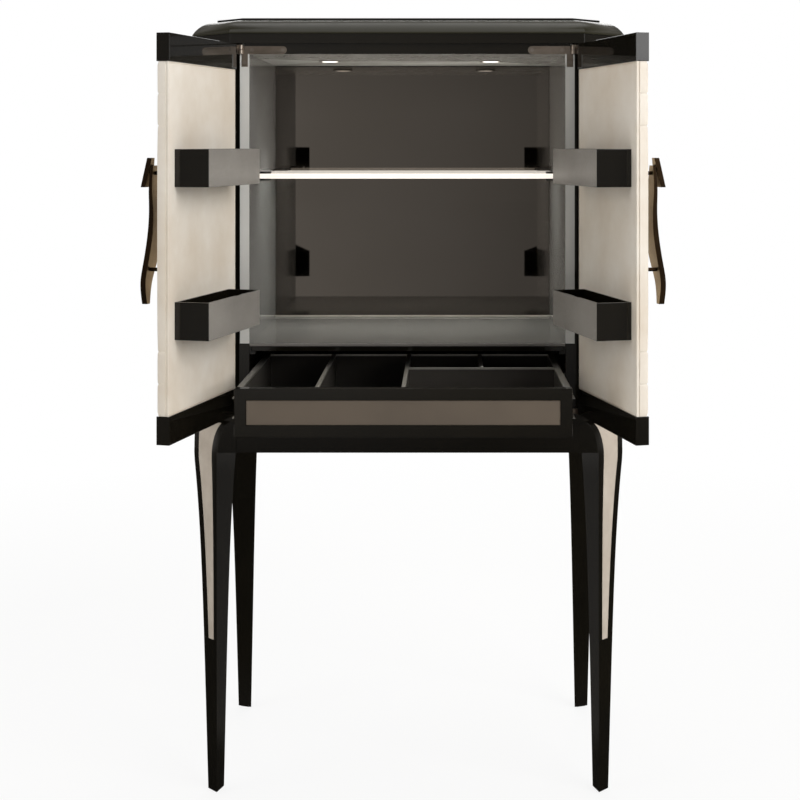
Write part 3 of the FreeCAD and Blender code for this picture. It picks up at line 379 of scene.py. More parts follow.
FINISHES: tuple[Finish, ...] = (
    # Black polyester lacquer, buffed: near-black with a brown cast, sharp reflections, faint spray ripple.
    GlossLacquer("black_lacquer", "dark_lacquer", "#16130d", "#100e0a", 0.06, ior=1.42),
    # Grey polyester lacquer on the compartment's sides: mid grey, clean reflections at a low angle.
    GlossLacquer("grey_lacquer", "grey_lacquer", "#8d8c89", "#83817e", 0.1),
    # The same lacquer in a paler grey, as painted light: on the ceiling it stands in for light falling there,
    # on the inner sides' front edges for a painted reflection.
    GlossLacquer("pale_grey_lacquer", "grey_lacquer", "#dddcd7", "#d3d2cd", 0.1),
    # Satin lacquer on thin drawer boards: a soft dark grey, lighter than the black lacquer as painted light
    # in the drawer's shaded inside, with no sharp highlight.
    SatinLacquer("drawer_lacquer", "dark_lacquer", "#47433e", "#3c3935", 0.3, drift_mm=160.0),
    # Satin lacquer in a warm grey on the trays' long faces, as a painted reflection of the bright room there;
    # it blurs what it shows.
    SatinLacquer("tray_lacquer", "dark_lacquer", "#928d86", "#837e78", 0.26, drift_mm=90.0),
    # Olive-black lacquer on the cornice: a green cast beside the black frieze, broad soft highlights.
    GlossLacquer("olive_lacquer", "olive_lacquer", "#2d2b1f", "#27251a", 0.2, ior=1.38),
    # Back-lacquered grey glass: an even grey under a hard, flat gloss.
    GlossLacquer("smoked_worktop", "smoked_glass", "#7a7672", "#716d69", 0.05, relief_mm=0.001),
    # Goatskin parchment: warm cream clouds and a satin bloom.
    Parchment("cream_parchment", "pale_leather", "#e0d2bf", "#f3ebdf", 0.42, drift_mm=130.0),
    # Dyed goatskin parchment on the legs: greige, finer clouds.
    Parchment("greige_parchment", "greige_leather", "#b6a999", "#d1c5b7", 0.4, drift_mm=70.0),
    # Satin taupe lacquer with flake: a brown that lifts softly towards the light.
    SatinLacquer("taupe_lacquer", "taupe_lacquer", "#5f554a", "#6b5f52", 0.32, drift_mm=160.0),
    # Silvered grey float glass: a dark, warm mirror.
    SmokedMirror("smoked_mirror", "smoked_mirror", "#6f6a65", "#6a655f", 0.015),
    # Low-iron float glass: colourless, seen by its edges and reflections.
    ClearGlass("clear_glass", "clear_glass", "#f4f7f6", "#f1f5f3", 0.0),
    # The same glass where the ceiling lights graze it, with a painted glow for that light: a cream veil.
    ClearGlass("lit_glass_face", "clear_glass", "#f4f7f6", "#f1f5f3", 0.02, glow=0.5),
    # The same glass at its ground front edge, with a stronger painted glow for the light it gathers: near
    # white.
    ClearGlass("lit_glass_edge", "clear_glass", "#f4f7f6", "#f1f5f3", 0.3, glow=0.75),
    # Opal acrylic: a warm white glow.
    OpalAcrylic("opal_acrylic", "light_lens", "#fff4e2", "#fff9ee", 0.3, glow=3.0),
    # Cast brass, antiqued: brown gold with soft highlights.
    Metal("antique_brass", "antique_brass", "#9d8a6c", "#806e53", 0.3),
    # Cast bronze, darkened: brown-black that only lights up at its edges.
    Metal("dark_bronze", "antique_brass", "#35281b", "#281e15", 0.34),
    # Blackened steel: charcoal with a dull shine.
    Metal("dark_steel", "dark_metal", "#3a3836", "#4a4744", 0.3),
    # Nickel-bronze plate on the hinges and the ceiling lights' cups: warm grey metal, satin.
    Metal("nickel_bronze", "dark_metal", "#9a8f84", "#857a6f", 0.34),
    # Zinc-plated steel: pale grey, drawn lines along the runners.
    Metal("bright_steel", "bright_steel", "#a9a8a5", "#bdbcb9", 0.28, stretch=(1, 0.05, 1)),
    # Nickel-plated screw heads: the mounts' warm grey, a little paler.
    Metal("plated_screw", "bright_steel", "#a39a90", "#8f867c", 0.36),
    # Satin nickel on the drawer's rims: pale, even, blurred reflections.
    Metal("bright_rim", "bright_rim", "#d3d0c9", "#c4c1ba", 0.36, grain_mm=3.0, relief_mm=0.001),
    # Black nylon: matt black with a fine moulded grain.
    MouldedPlastic("black_nylon", "black_plastic", "#141414", "#181818", 0.55),
)


class Palette:
    """Every finish's material, made once and asked for by name."""

    def __init__(self) -> None:
        """Make the materials."""
        self.slots = {finish.name: finish.slot for finish in FINISHES}
        self.materials = {finish.name: finish.make() for finish in FINISHES}

    def __getitem__(self, name: str) -> Material:
        """The material of a finish."""
        return self.materials[name]


# ---- meshes ----
@dataclass(frozen=True)
class Drawing:
    """The drawing's place in the frame: how far its Y = 0 lies from the frame's, in metres."""

    shift: float

    def place(self, x: float, y: float, z: float) -> Vector:
        """A point of the drawing, in the frame's metres."""
        return Vector((x * MM, y * MM + self.shift, z * MM))

    def box(self, node: str) -> tuple[Vector, Vector]:
        """A CAD node's lowest and highest corners, in the drawing's millimetres."""
        low, high = ((Vector(corner) - Vector((0, self.shift, 0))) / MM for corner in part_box(node))
        return low, high


def add_object(name: str, mesh: Mesh, materials: Iterable[Material] = ()) -> Object:
    """Link a mesh into the scene with its materials.

    Args:
        name: the piece's name.
        mesh: its mesh, in the frame's place.
        materials: one for each material number that the faces use.

    Returns:
        The new object.
    """
    piece = bpy.data.objects.new(name, mesh)
    bpy.context.scene.collection.objects.link(piece)
    for material in materials:
        mesh.materials.append(material)
    return piece


def finished_mesh(name: str, made: bmesh.types.BMesh) -> Mesh:
    """Turn a mesh in the making into a mesh of that name, and free it."""
    mesh = bpy.data.meshes.new(name)
    made.to_mesh(mesh)
    made.free()
    return mesh


def smooth(mesh: Mesh, degrees: float = 32.0) -> None:
    """Shade a mesh smooth, with edges above an angle kept sharp."""
    mesh.shade_smooth()
    mesh.set_sharp_from_angle(angle=math.radians(degrees))


def ease(piece: Object, width_mm: float, segments: int = 2, degrees: float = 35.0) -> None:
    """Round a piece's sharp edges, as sanding or casting does.

    Args:
        piece: the mesh object.
        width_mm: width of the rounding.
        segments: faces across it.
        degrees: edges sharper than this are rounded.
    """
    bevel = piece.modifiers.new("eased_edges", "BEVEL")
    bevel.width = width_mm * MM
    bevel.segments = segments
    bevel.limit_method = "ANGLE"
    bevel.angle_limit = math.radians(degrees)
    bevel.harden_normals = True


def loft_mesh(name: str, rings: Sequence[Sequence[Vector]], columns: Callable[[int], int] | None = None,
              flip: bool = False) -> Mesh:
    """Join closed rings of points into a closed skin with flat ends.

    Args:
        name: the mesh's name.
        rings: rings with the same number of points, from one end to the other.
        columns: gives the material number of the faces in a column.
        flip: turn the faces round, for a mirrored piece.

    Returns:
        The mesh.
    """
    count = len(rings[0])
    last = (len(rings) - 1) * count
    faces, numbers = [], []
    for start in range(0, last, count):
        for column in range(count):
            a, b = start + column, start + (column + 1) % count
            faces.append((a, b, b + count, a + count))
            numbers.append(columns(column) if columns else 0)
    faces += [tuple(reversed(range(count))), tuple(range(last, last + count))]
    numbers += [0, 0]
    if flip:
        faces = [tuple(reversed(face)) for face in faces]
    mesh = bpy.data.meshes.new(name)
    mesh.from_pydata([point for ring in rings for point in ring], [], faces)
    mesh.polygons.foreach_set("material_index", numbers)
    mesh.update()
    return mesh


def join_meshes(name: str, meshes: Sequence[Mesh]) -> Mesh:
    """Put several meshes into one."""
    made = bmesh.new()
    for mesh in meshes:
        made.from_mesh(mesh)
    return finished_mesh(name, made)


def curve_through(points: Sequence[Pair]) -> Callable[[float], float]:
    """A smooth curve y(x) through points whose x grows, as a natural cubic.

    Args:
        points: the (x, y) pairs.

    Returns:
        The function y(x).
    """
    xs, ys = zip(*points)
    count = len(xs)
    steps = [xs[i + 1] - xs[i] for i in range(count - 1)]
    lower, right, curve = [0.0] * count, [0.0] * count, [0.0] * count
    for i in range(1, count - 1):
        slope = 3 * ((ys[i + 1] - ys[i]) / steps[i] - (ys[i] - ys[i - 1]) / steps[i - 1])
        middle = 2 * (xs[i + 1] - xs[i - 1]) - steps[i - 1] * lower[i - 1]
        lower[i] = steps[i] / middle
        right[i] = (slope - steps[i - 1] * right[i - 1]) / middle
    for i in range(count - 2, 0, -1):
        curve[i] = right[i] - lower[i] * curve[i + 1]

    def value(x: float) -> float:
        """The curve's height at x."""
        i = sum(1 for place in xs[1:-1] if x >= place)
        t = x - xs[i]
        first = (ys[i + 1] - ys[i]) / steps[i] - steps[i] * (2 * curve[i] + curve[i + 1]) / 3
        return ys[i] + t * (first + t * (curve[i] + t * (curve[i + 1] - curve[i]) / (3 * steps[i])))

    return value


def second_finish(piece: Object, material: Material, chosen: Callable[[MeshPolygon], bool]) -> None:
    """Give some of a piece's faces another material.

    Args:
        piece: the mesh object.
        material: the other material.
        chosen: says whether a face gets it.
    """
    piece.data.materials.append(material)
    for face in piece.data.polygons:
        if chosen(face):
            face.material_index = len(piece.data.materials) - 1


# ---- what every sub-assembly does ----
@dataclass(frozen=True)
class Board:
    """One CAD node that keeps its shape: its finishes and how far its edges are eased."""

    node: str
    finish: str
    edge_mm: float = 0.5  # none where it is 0
    segments: int = 2
    name: str = ""  # "eased_" and the node's name, if nothing stands here
    front: str = ""  # another finish for the faces that look to the front
    top: str = ""  # another finish for the faces that look up


def alike(finish: str, edges: dict[float, str]) -> tuple[Board, ...]:
    """Boards of one finish.

    Args:
        finish: the finish.
        edges: the width of the eased edges to the nodes that have it.

    Returns:
        The boards.
    """
    return tuple(Board(node, finish, edge) for edge, nodes in edges.items() for node in nodes.split())


@dataclass(frozen=True)
class Assembly:
    """A sub-assembly: where the drawing lies, the materials, and how a piece joins the frame."""

    drawing: Drawing
    palette: Palette

    def settle(self, piece: Object, finish: str, body: str, *nodes: str) -> Object:
        """Put a piece on its body and in place of its nodes.

        Args:
            piece: the mesh object.
            finish: its main finish; not used.
            body: the CAD body it moves with.
            nodes: the CAD nodes that it replaces.

        Returns:
            The piece.
        """
        if nodes:
            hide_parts(*nodes)
        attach(piece, body)
        return piece

    def dress(self, board: Board, body: str) -> Object:
        """Copy a node as a clean mesh, with doubles merged and flat faces whole, and finish it.

        Args:
            board: the node and its finishes.
            body: the CAD body it moves with.

        Returns:
            The piece.
        """
        name = board.name or "eased_" + board.node
        made = bmesh.new()
        made.from_mesh(bpy.data.objects[board.node].data)
        bmesh.ops.remove_doubles(made, verts=made.verts, dist=SAME_PLACE)
        bmesh.ops.dissolve_limit(made, angle_limit=math.radians(SAME_FLAT), verts=made.verts,
                                 edges=made.edges)
        mesh = finished_mesh(name, made)
        mesh.materials.clear()
        piece = add_object(name, mesh, [self.palette[board.finish]])
        smooth(mesh)
        if board.front:
            second_finish(piece, self.palette[board.front], lambda face: face.normal.y < -SQUARELY)
        if board.top:
            second_finish(piece, self.palette[board.top], lambda face: face.normal.z > SQUARELY)
        if board.edge_mm:
            ease(piece, board.edge_mm, board.segments)
        return self.settle(piece, board.finish, body, board.node)


# ---- fixed boards, glass and metalwork ----
@dataclass(frozen=True)
class Casework(Assembly):
    """The fixed boards, glass and metalwork of the cabinet."""

    channel_depth: float = 3.0
    channel_height: float = 4.0
    channel_edge: float = 0.3
    boards: tuple[Board, ...] = (
        *alike("black_lacquer", {
            0.5: "frieze_board right_outer_side left_outer_side back_panel inner_back",
            0.6: "right_front_pilaster left_front_pilaster rear_pilasters base_deck",
            0.8: "top_plate", 1.2: "front_apron rear_apron side_aprons", 1.5: "floor_panel"}),
        *alike("nickel_bronze", {0.5: "light_cups", 0.6: "hinge_mounts"}),
        *alike("black_nylon", {0.4: "shelf_guides foot_glides"}),
        Board("mirror", "smoked_mirror", 0.8),
        Board("worktop_glass", "smoked_worktop", 1.0),
        Board("shelf_clamps", "dark_steel", 0.8),
        Board("light_lenses", "opal_acrylic", 0.4),
        Board("runner_rails", "bright_steel", 0.3),
        Board("cornice", "olive_lacquer", 0.0, name="cornice_moulding"),
        # The ceiling in the paler grey of painted light, black where it looks to the front.
        Board("ceiling_panel", "pale_grey_lacquer", 0.6, front="black_lacquer"),
        # The glass shelf's front edge and top get a painted glow for the ceiling lights that fall on them.
        Board("glass_shelf", "clear_glass", 0.8, name="shelf_glass", front="lit_glass_edge",
              top="lit_glass_face"),
    )

    def build(self) -> list[Object]:
        """Dress the boards and make the mirror's channel.

        Returns:
            The pieces.
        """
        pieces = [self.dress(board, "cabinet") for board in self.boards]
        return [*pieces, self.mirror_channel(), *[self.inner_side(side) for side in Side]]

    def inner_side(self, side: Side) -> Object:
        """A side of the compartment: grey, with a painted reflection in paler grey on its front edge, and
        black in the drawer's bay below.
        """
        worktop_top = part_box("worktop_glass")[1].z
        board = self.dress(Board(side.word + "_inner_side", "grey_lacquer", 0.8), "cabinet")
        cut = bmesh.new()
        cut.from_mesh(board.data)
        bmesh.ops.bisect_plane(cut, geom=cut.verts[:] + cut.edges[:] + cut.faces[:],
                               plane_co=(0, 0, worktop_top), plane_no=(0, 0, 1))
        cut.to_mesh(board.data)
        cut.free()
        # The front edge gets the paler grey as a painted reflection.
        second_finish(board, self.palette["pale_grey_lacquer"], lambda face: face.normal.y < -SQUARELY)
        second_finish(board, self.palette["black_lacquer"], lambda face: face.center.z < worktop_top)
        return board

    def mirror_channel(self) -> Object:
        """The bright channel that the mirror's foot stands in, on the worktop."""
        mirror_low, mirror_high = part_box("mirror")
        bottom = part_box("worktop_glass")[1].z
        back, front = mirror_low.y, mirror_low.y - self.channel_depth * MM
        top, chamfer = bottom + self.channel_height * MM, self.channel_height * MM / 3
        outline = ((front, bottom), (back, bottom), (back, top), (front + chamfer, top),
                   (front, top - chamfer))
        rings = [[Vector((x, y, z)) for y, z in outline] for x in (mirror_low.x, mirror_high.x)]
        channel = add_object("mirror_channel", loft_mesh("mirror_channel", rings),
                             [self.palette["bright_rim"]])
        ease(channel, self.channel_edge)
        return self.settle(channel, "bright_rim", "cabinet")


# ---- legs ----
@dataclass(frozen=True)
class LegSet(Assembly):
    """The four three-cornered legs with their corner blocks and parchment inlays.

    The leg's outer face lies at 45 degrees, and the section is as deep as that face is wide.
    """

    foot_side: float = 29.5
    head_side: float = 78.0
    foot_inset: float = 51.65  # from the block's side face to the foot's front edge
    foot_back: float = 26.0  # from the apron's face back to the foot's front edge
    straight_share: float = 0.63  # share of the widening that is even; the rest flares near the top
    flare_power: int = 5
    flare_gap: float = 9.0
    roll_inset: float = 25.5
    roll_height: float = 76.0
    block_reach: float = 40.0
    outer_border: float = 15.5
    inner_border: float = 11.0
    border_flare: float = 6.5
    top_border: float = 8.0
    recess: float = 0.9
    slope: float = 1.6  # width of the bead that slopes into the recess
    recess_end: float = 0.3  # length of the step at the recess's lower and upper ends
    inlay_gap: float = 0.15
    inlay_bed: float = 0.3  # how far the inlay's underside lies below the recess
    # Across the inlay as a share of its width, and how deep its face lies there.
    crown: tuple[Pair, ...] = (
        (0, 0.5), (0.03, 0.3), (0.3, 0.1), (0.5, 0.05), (0.7, 0.1), (0.97, 0.3), (1, 0.5))
    even_steps: int = 40
    roll_steps: int = 16
    edge_mm: float = 1.8
    sharp_angle: float = 24.0

    @property
    def top(self) -> float:
        """Height of the leg frame's top."""
        return self.drawing.box("front_right_leg")[1].z

    @property
    def shoulder(self) -> float:
        """Height at which the outer face starts to roll in."""
        return self.top - self.roll_height

    @property
    def apron(self) -> tuple[Vector, Vector]:
        """The front apron's box."""
        return self.drawing.box("front_apron")

    @property
    def side_x(self) -> float:
        """The side aprons' outer face, on the right."""
        return self.drawing.box("side_aprons")[1].x

    @property
    def head(self) -> Vector:
        """The outer face's front edge at the top."""
        return Vector((self.side_x - self.head_side * DIAGONAL, self.apron[0].y))

    @property
    def inlay_ends(self) -> Pair:
        """Heights of the inlay's lower and upper ends."""
        return self.drawing.box("leg_inlays")[0].z, self.top - self.top_border

    def edge(self, z: float) -> Vector:
        """The outer face's front edge at a height."""
        foot = Vector((self.side_x - self.foot_inset, self.apron[0].y + self.foot_back))
        return foot.lerp(self.head, z / self.top)

    def share(self, z: float) -> float:
        """How far up the widening part of the leg a height is, from 0 to 1."""
        return min(z / (self.shoulder - self.flare_gap), 1.0)

    def side(self, z: float) -> float:
        """The outer face's width at a height."""
        share = self.share(z)
        flare = self.straight_share * share + (1 - self.straight_share) * share ** self.flare_power
        return self.foot_side + (self.head_side - self.foot_side) * flare

    def rolled(self, z: float) -> float:
        """How far the shoulder has rolled in at a height."""
        rise = max(z - self.shoulder, 0.0) / self.roll_height
        return self.roll_inset * (1 - math.sqrt(max(1 - rise * rise, 0.0)))

    def on_face(self, z: float, along: float, depth: float) -> Vector:
        """A point of the outer face, so far along it from its front edge and so deep behind it."""
        base = self.edge(z)
        inward = depth + self.rolled(z)
        return Vector((base.x + (along - inward) * DIAGONAL, base.y + (along + inward) * DIAGONAL, z))

    def inner_corner(self, z: float) -> Vector:
        """The section's inner corner at a height."""
        return self.on_face(z, self.side(z) / 2, self.side(z) - self.rolled(z))

    def inlay_span(self, z: float) -> Pair:
        """How far along the outer face the inlay starts and ends at a height."""
        roll = self.rolled(z)
        near = self.inner_border + self.border_flare * self.share(z) ** self.flare_power
        return near - roll, self.side(z) - self.outer_border + roll

    def face_points(self, z: float, start: float, end: float) -> list[Vector]:
        """The outer face's points at a height: beaded border, recess for the inlay, beaded border."""
        near, far = self.inlay_span(z)
        low, high = self.inlay_ends
        deep = self.recess if low <= z <= high else 0.0
        slope, third = self.slope, self.slope / 3
        return [self.on_face(z, along, depth) for along, depth in (
            (start, 0), (near - slope, 0), (near - third, deep / 3), (near, deep),
            (far, deep), (far + third, deep / 3), (far + slope, 0), (end, 0))]

    def heights(self, low: float, high: float) -> list[float]:
        """Heights for rings: even below the shoulder, by the roll's angle above it."""
        below = [low + (self.shoulder - low) * step / self.even_steps
                 for step in range(self.even_steps + 1) if low < self.shoulder]
        above = [self.shoulder + self.roll_height * math.sin(math.pi / 2 * step / self.roll_steps)
                 for step in range(1, self.roll_steps + 1)]
        return sorted({z for z in below + above + [low, high] if low <= z <= high})

    def leg_rings(self) -> Rings:
        """Rings of the leg from its glide to the underside of its block."""
        inlay_low = self.inlay_ends[0]
        levels = self.heights(self.drawing.box("front_right_leg")[0].z, self.apron[0].z)
        return [self.face_points(z, 0.0, self.side(z)) + [self.inner_corner(z)]
                for z in sorted(levels + [inlay_low - self.recess_end, inlay_low])]

    def block_rings(self) -> Rings:
        """Rings of the corner block that the aprons run into."""
        low, high = self.apron
        thick = high.y - low.y
        head, inner = self.head, self.inner_corner(self.top)
        block_x, block_y = head.x - self.block_reach, head.y + self.head_side * DIAGONAL + self.block_reach
        inlay_top = self.inlay_ends[1]
        rings = []
        for z in sorted(set(self.heights(low.z, self.top)) | {inlay_top, inlay_top + self.recess_end}):
            base, roll = self.edge(z), self.rolled(z)
            start = (head.y - base.y - roll * DIAGONAL) / DIAGONAL
            end = (self.side_x - base.x + roll * DIAGONAL) / DIAGONAL
            rings.append([Vector((block_x, head.y, z)), *self.face_points(z, start, end),
                          Vector((self.side_x, block_y, z)), Vector((self.side_x - thick, block_y, z)),
                          Vector((inner.x, inner.y, z)), Vector((block_x, head.y + thick, z))])
        return rings

    def inlay_rings(self) -> Rings:
        """Rings of one inlay, a thin crowned strip in the recess."""
        rings = []
        for z in self.heights(*self.inlay_ends):
            near, far = self.inlay_span(z)
            near, far = near + self.inlay_gap, far - self.inlay_gap
            ring = [self.on_face(z, near + (far - near) * share, depth) for share, depth in self.crown]
            ring += [self.on_face(z, along, self.recess + self.inlay_bed) for along in (far, near)]
            rings.append(ring)
        return rings

    def at_corner(self, rings: Rings, side: Side, depth: Depth) -> Rings:
        """The rings of the front right corner, mirrored to another corner and placed in the frame."""
        across = self.apron[0].y + self.drawing.box("rear_apron")[1].y
        return [[self.drawing.place(side.value * p.x, p.y if depth is Depth.FRONT else across - p.y, p.z)
                 for p in ring] for ring in rings]

    def build(self) -> list[Object]:
        """Build the legs and the inlays.

        Returns:
            The pieces.
        """
        shapes = self.leg_rings(), self.block_rings(), self.inlay_rings()
        pieces, strips = [], []
        for side in Side:
            for depth in Depth:
                turned = (side is Side.LEFT) != (depth is Depth.REAR)
                name = f"{depth.value}_{side.word}_leg"
                *shells, strip = [loft_mesh(name, self.at_corner(rings, side, depth), flip=turned)
                                  for rings in shapes]
                leg = add_object("shaped_" + name, join_meshes(name, shells),
                                 [self.palette["black_lacquer"]])
                smooth(leg.data, self.sharp_angle)
                ease(leg, self.edge_mm, 3, self.sharp_angle)
                pieces.append(self.settle(leg, "black_lacquer", "cabinet", name))
                strips.append(strip)
        inlay = add_object("parchment_inlays", join_meshes("parchment_inlays", strips),
                           [self.palette["greige_parchment"]])
        smooth(inlay.data)
        return [*pieces, self.settle(inlay, "greige_parchment", "cabinet", "leg_inlays")]


# ---- doors ----
@dataclass(frozen=True)
class Door(Assembly):
    """One door: dark rails and core, parchment lining and facing, trays, handle and hinge leaves.

    Its sizes are those of the closed right door; open_point swings them open and to this door's side.
    """

    side: Side
    pivot: Pair = (339.1, 0.0)
    opened: float = 104.0
    free_x: float = 1.7
    cloth_x: float = 318.7
    inner_y: float = -2.8
    outer_y: float = -24.8
    lining_thick: float = 5.0
    facing_thick: float = 6.0
    tray_depth: float = 67.6
    rows: int = 11
    row_steps: int = 8
    seams: tuple[int, ...] = (1, 2, 9, 10)
    seam_half: float = 3.2
    seam_depth: float = 1.5
    seam_levels: tuple[float, ...] = (-1, -0.6, -0.3, 0, 0.3, 0.6, 1)  # its rings, as shares of its half
    seam_power: float = 1.5
    pillow: float = 0.9
    field_pillow: float = 1.44  # the same for the tall field between the seams
    pillow_power: int = 6
    edge_pillow: float = 0.35  # share of the pillow that shows at the free edge
    wrap: float = 2.4  # how far the rounding over the free edge reaches
    wrap_cut: float = 0.7  # how far it stays inside its square corner
    joint: float = 1.5  # width of the sunk joint between facing and lining
    tuck: float = 1.0  # how far from the hinge side the facing starts to stand out
    facing_angle: float = 40.0  # edges sharper than this stay sharp
    lining_angle: float = 20.0
    # Inset and depth: eased back edge, side, eased front edge, fine sunk line, slightly crowned field.
    lining_profile: tuple[Pair, ...] = (
        (0.8, 5.0), (0.0, 4.2), (0.0, 0.5), (0.5, 0.0), (1.7, 0.0), (2.0, 1.3), (3.2, 1.3), (3.6, 0.1),
        (5.0, -0.1), (30.0, -0.2))
    # a tray face that looks this squarely away from the door gets the painted reflection's grey
    tray_front_turn: float = 0.7  # how squarely a tray face must look away from the door to be grey

    @property
    def bottom(self) -> float:
        """Height of the panel's lower edge."""
        return self.drawing.box("right_door_lining")[0].z

    @property
    def top(self) -> float:
        """Height of the panel's upper edge."""
        return self.drawing.box("right_door_lining")[1].z

    @property
    def mirrored(self) -> bool:
        """Whether this door's faces have to be turned round."""
        return self.side is Side.LEFT

    @property
    def body(self) -> str:
        """The CAD body that this door is."""
        return self.side.word + "_door"

    def open_point(self, x: float, y: float, z: float) -> Vector:
        """A point of the closed right door, swung open and set on this door's side."""
        turn = math.radians(self.opened)
        dx, dy = x - self.pivot[0], y - self.pivot[1]
        px = self.pivot[0] + dx * math.cos(turn) - dy * math.sin(turn)
        py = self.pivot[1] + dx * math.sin(turn) + dy * math.cos(turn)
        return self.drawing.place(self.side.value * px, py, z)

    def bulge(self, z: float) -> float:
        """How far the facing's upholstered rows stand out at a height."""
        pitch = (self.top - self.bottom) / self.rows
        edges = [self.bottom] + [self.bottom + pitch * row for row in self.seams] + [self.top]
        for low, high in zip(edges, edges[1:]):
            if low <= z <= high:
                middle = 2 * (z - low) / (high - low) - 1
                swell = self.field_pillow if high - low > 2 * pitch else self.pillow
                nick = max(0.0, 1 - min(z - low, high - z) / self.seam_half)
                return swell * (1 - middle ** self.pillow_power) - self.seam_depth * nick ** self.seam_power
        return 0.0

    def panel(self, name: str, mesh: Mesh, sharp_angle: float, node: str) -> Object:
        """Make a parchment panel of this door from its mesh, in place of its node."""
        piece = add_object(f"{self.side.word}_{name}", mesh, [self.palette["cream_parchment"]])
        smooth(mesh, sharp_angle)
        return self.settle(piece, "cream_parchment", self.body, f"{self.side.word}_{node}")

    def facing(self) -> Object:
        """The parchment facing: rows between sunk seams, wrapped round the free edge."""
        pitch = (self.top - self.bottom) / self.rows
        count = self.row_steps * self.rows
        levels = {self.bottom + pitch * step / self.row_steps for step in range(count + 1)}
        for row in self.seams:
            levels |= {self.bottom + pitch * row + self.seam_half * share for share in self.seam_levels}
        inside_y = self.outer_y + self.facing_thick
        back_y = self.inner_y - self.lining_thick
        rings = []
        for z in sorted(levels):
            bulge = self.bulge(z)
            out, edge = self.outer_y - bulge, self.free_x - self.edge_pillow * bulge
            outline = [(self.cloth_x, self.outer_y), (self.cloth_x - self.tuck, out),
                       (self.free_x + self.wrap, out),
                       (self.free_x + self.wrap_cut, out + self.wrap_cut), (edge, out + self.wrap),
                       (edge, back_y - self.joint), (self.free_x + self.joint, back_y),
                       (self.free_x + self.facing_thick, back_y),
                       (self.free_x + self.facing_thick, inside_y), (self.cloth_x, inside_y)]
            rings.append([self.open_point(x, y, z) for x, y in outline])
        mesh = loft_mesh("facing", rings, flip=not self.mirrored)
        return self.panel("parchment_facing", mesh, self.facing_angle, "door_facing")

    def lining(self) -> Object:
        """The parchment lining: a flat field inside a fine sunk line."""
        rings = []
        for inset, depth in self.lining_profile:
            left, right = self.free_x + inset, self.cloth_x - inset
            low, high = self.bottom + inset, self.top - inset
            rings.append([self.open_point(x, self.inner_y - depth, z)
                          for x, z in ((left, low), (right, low), (right, high), (left, high))])
        mesh = loft_mesh("lining", rings, flip=self.mirrored)
        return self.panel("parchment_lining", mesh, self.lining_angle, "door_lining")

    def trays(self) -> Object:
        """The two trays: black, with a painted reflection in satin grey on the long face that looks away from
        the door.
        """
        trays = self.dress(Board(self.side.word + "_door_trays", "black_lacquer", 0.9), self.body)
        away = (self.open_point(0, 1, 0) - self.open_point(0, 0, 0)).normalized()
        # The long face that looks away from the door gets the grey of the painted reflection.
        middle = self.open_point(0, self.inner_y + self.tray_depth / 2, 0)
        second_finish(trays, self.palette["tray_lacquer"],
                      lambda face: (face.center - middle).dot(away) > 0
                      and face.normal.dot(away) > self.tray_front_turn)
        return trays

    def build(self) -> list[Object]:
        """Build the door.

        Returns:
            The pieces.
        """
        word = self.side.word
        boards = (Board(word + "_door_core", "black_lacquer"),
                  Board(word + "_door_rails", "black_lacquer", 0.8, 3),
                  Board(word + "_hinge_leaves", "nickel_bronze", 0.6))
        return [*[self.dress(board, self.body) for board in boards],
                self.facing(), self.lining(), self.trays(), *Handle(self).build()]


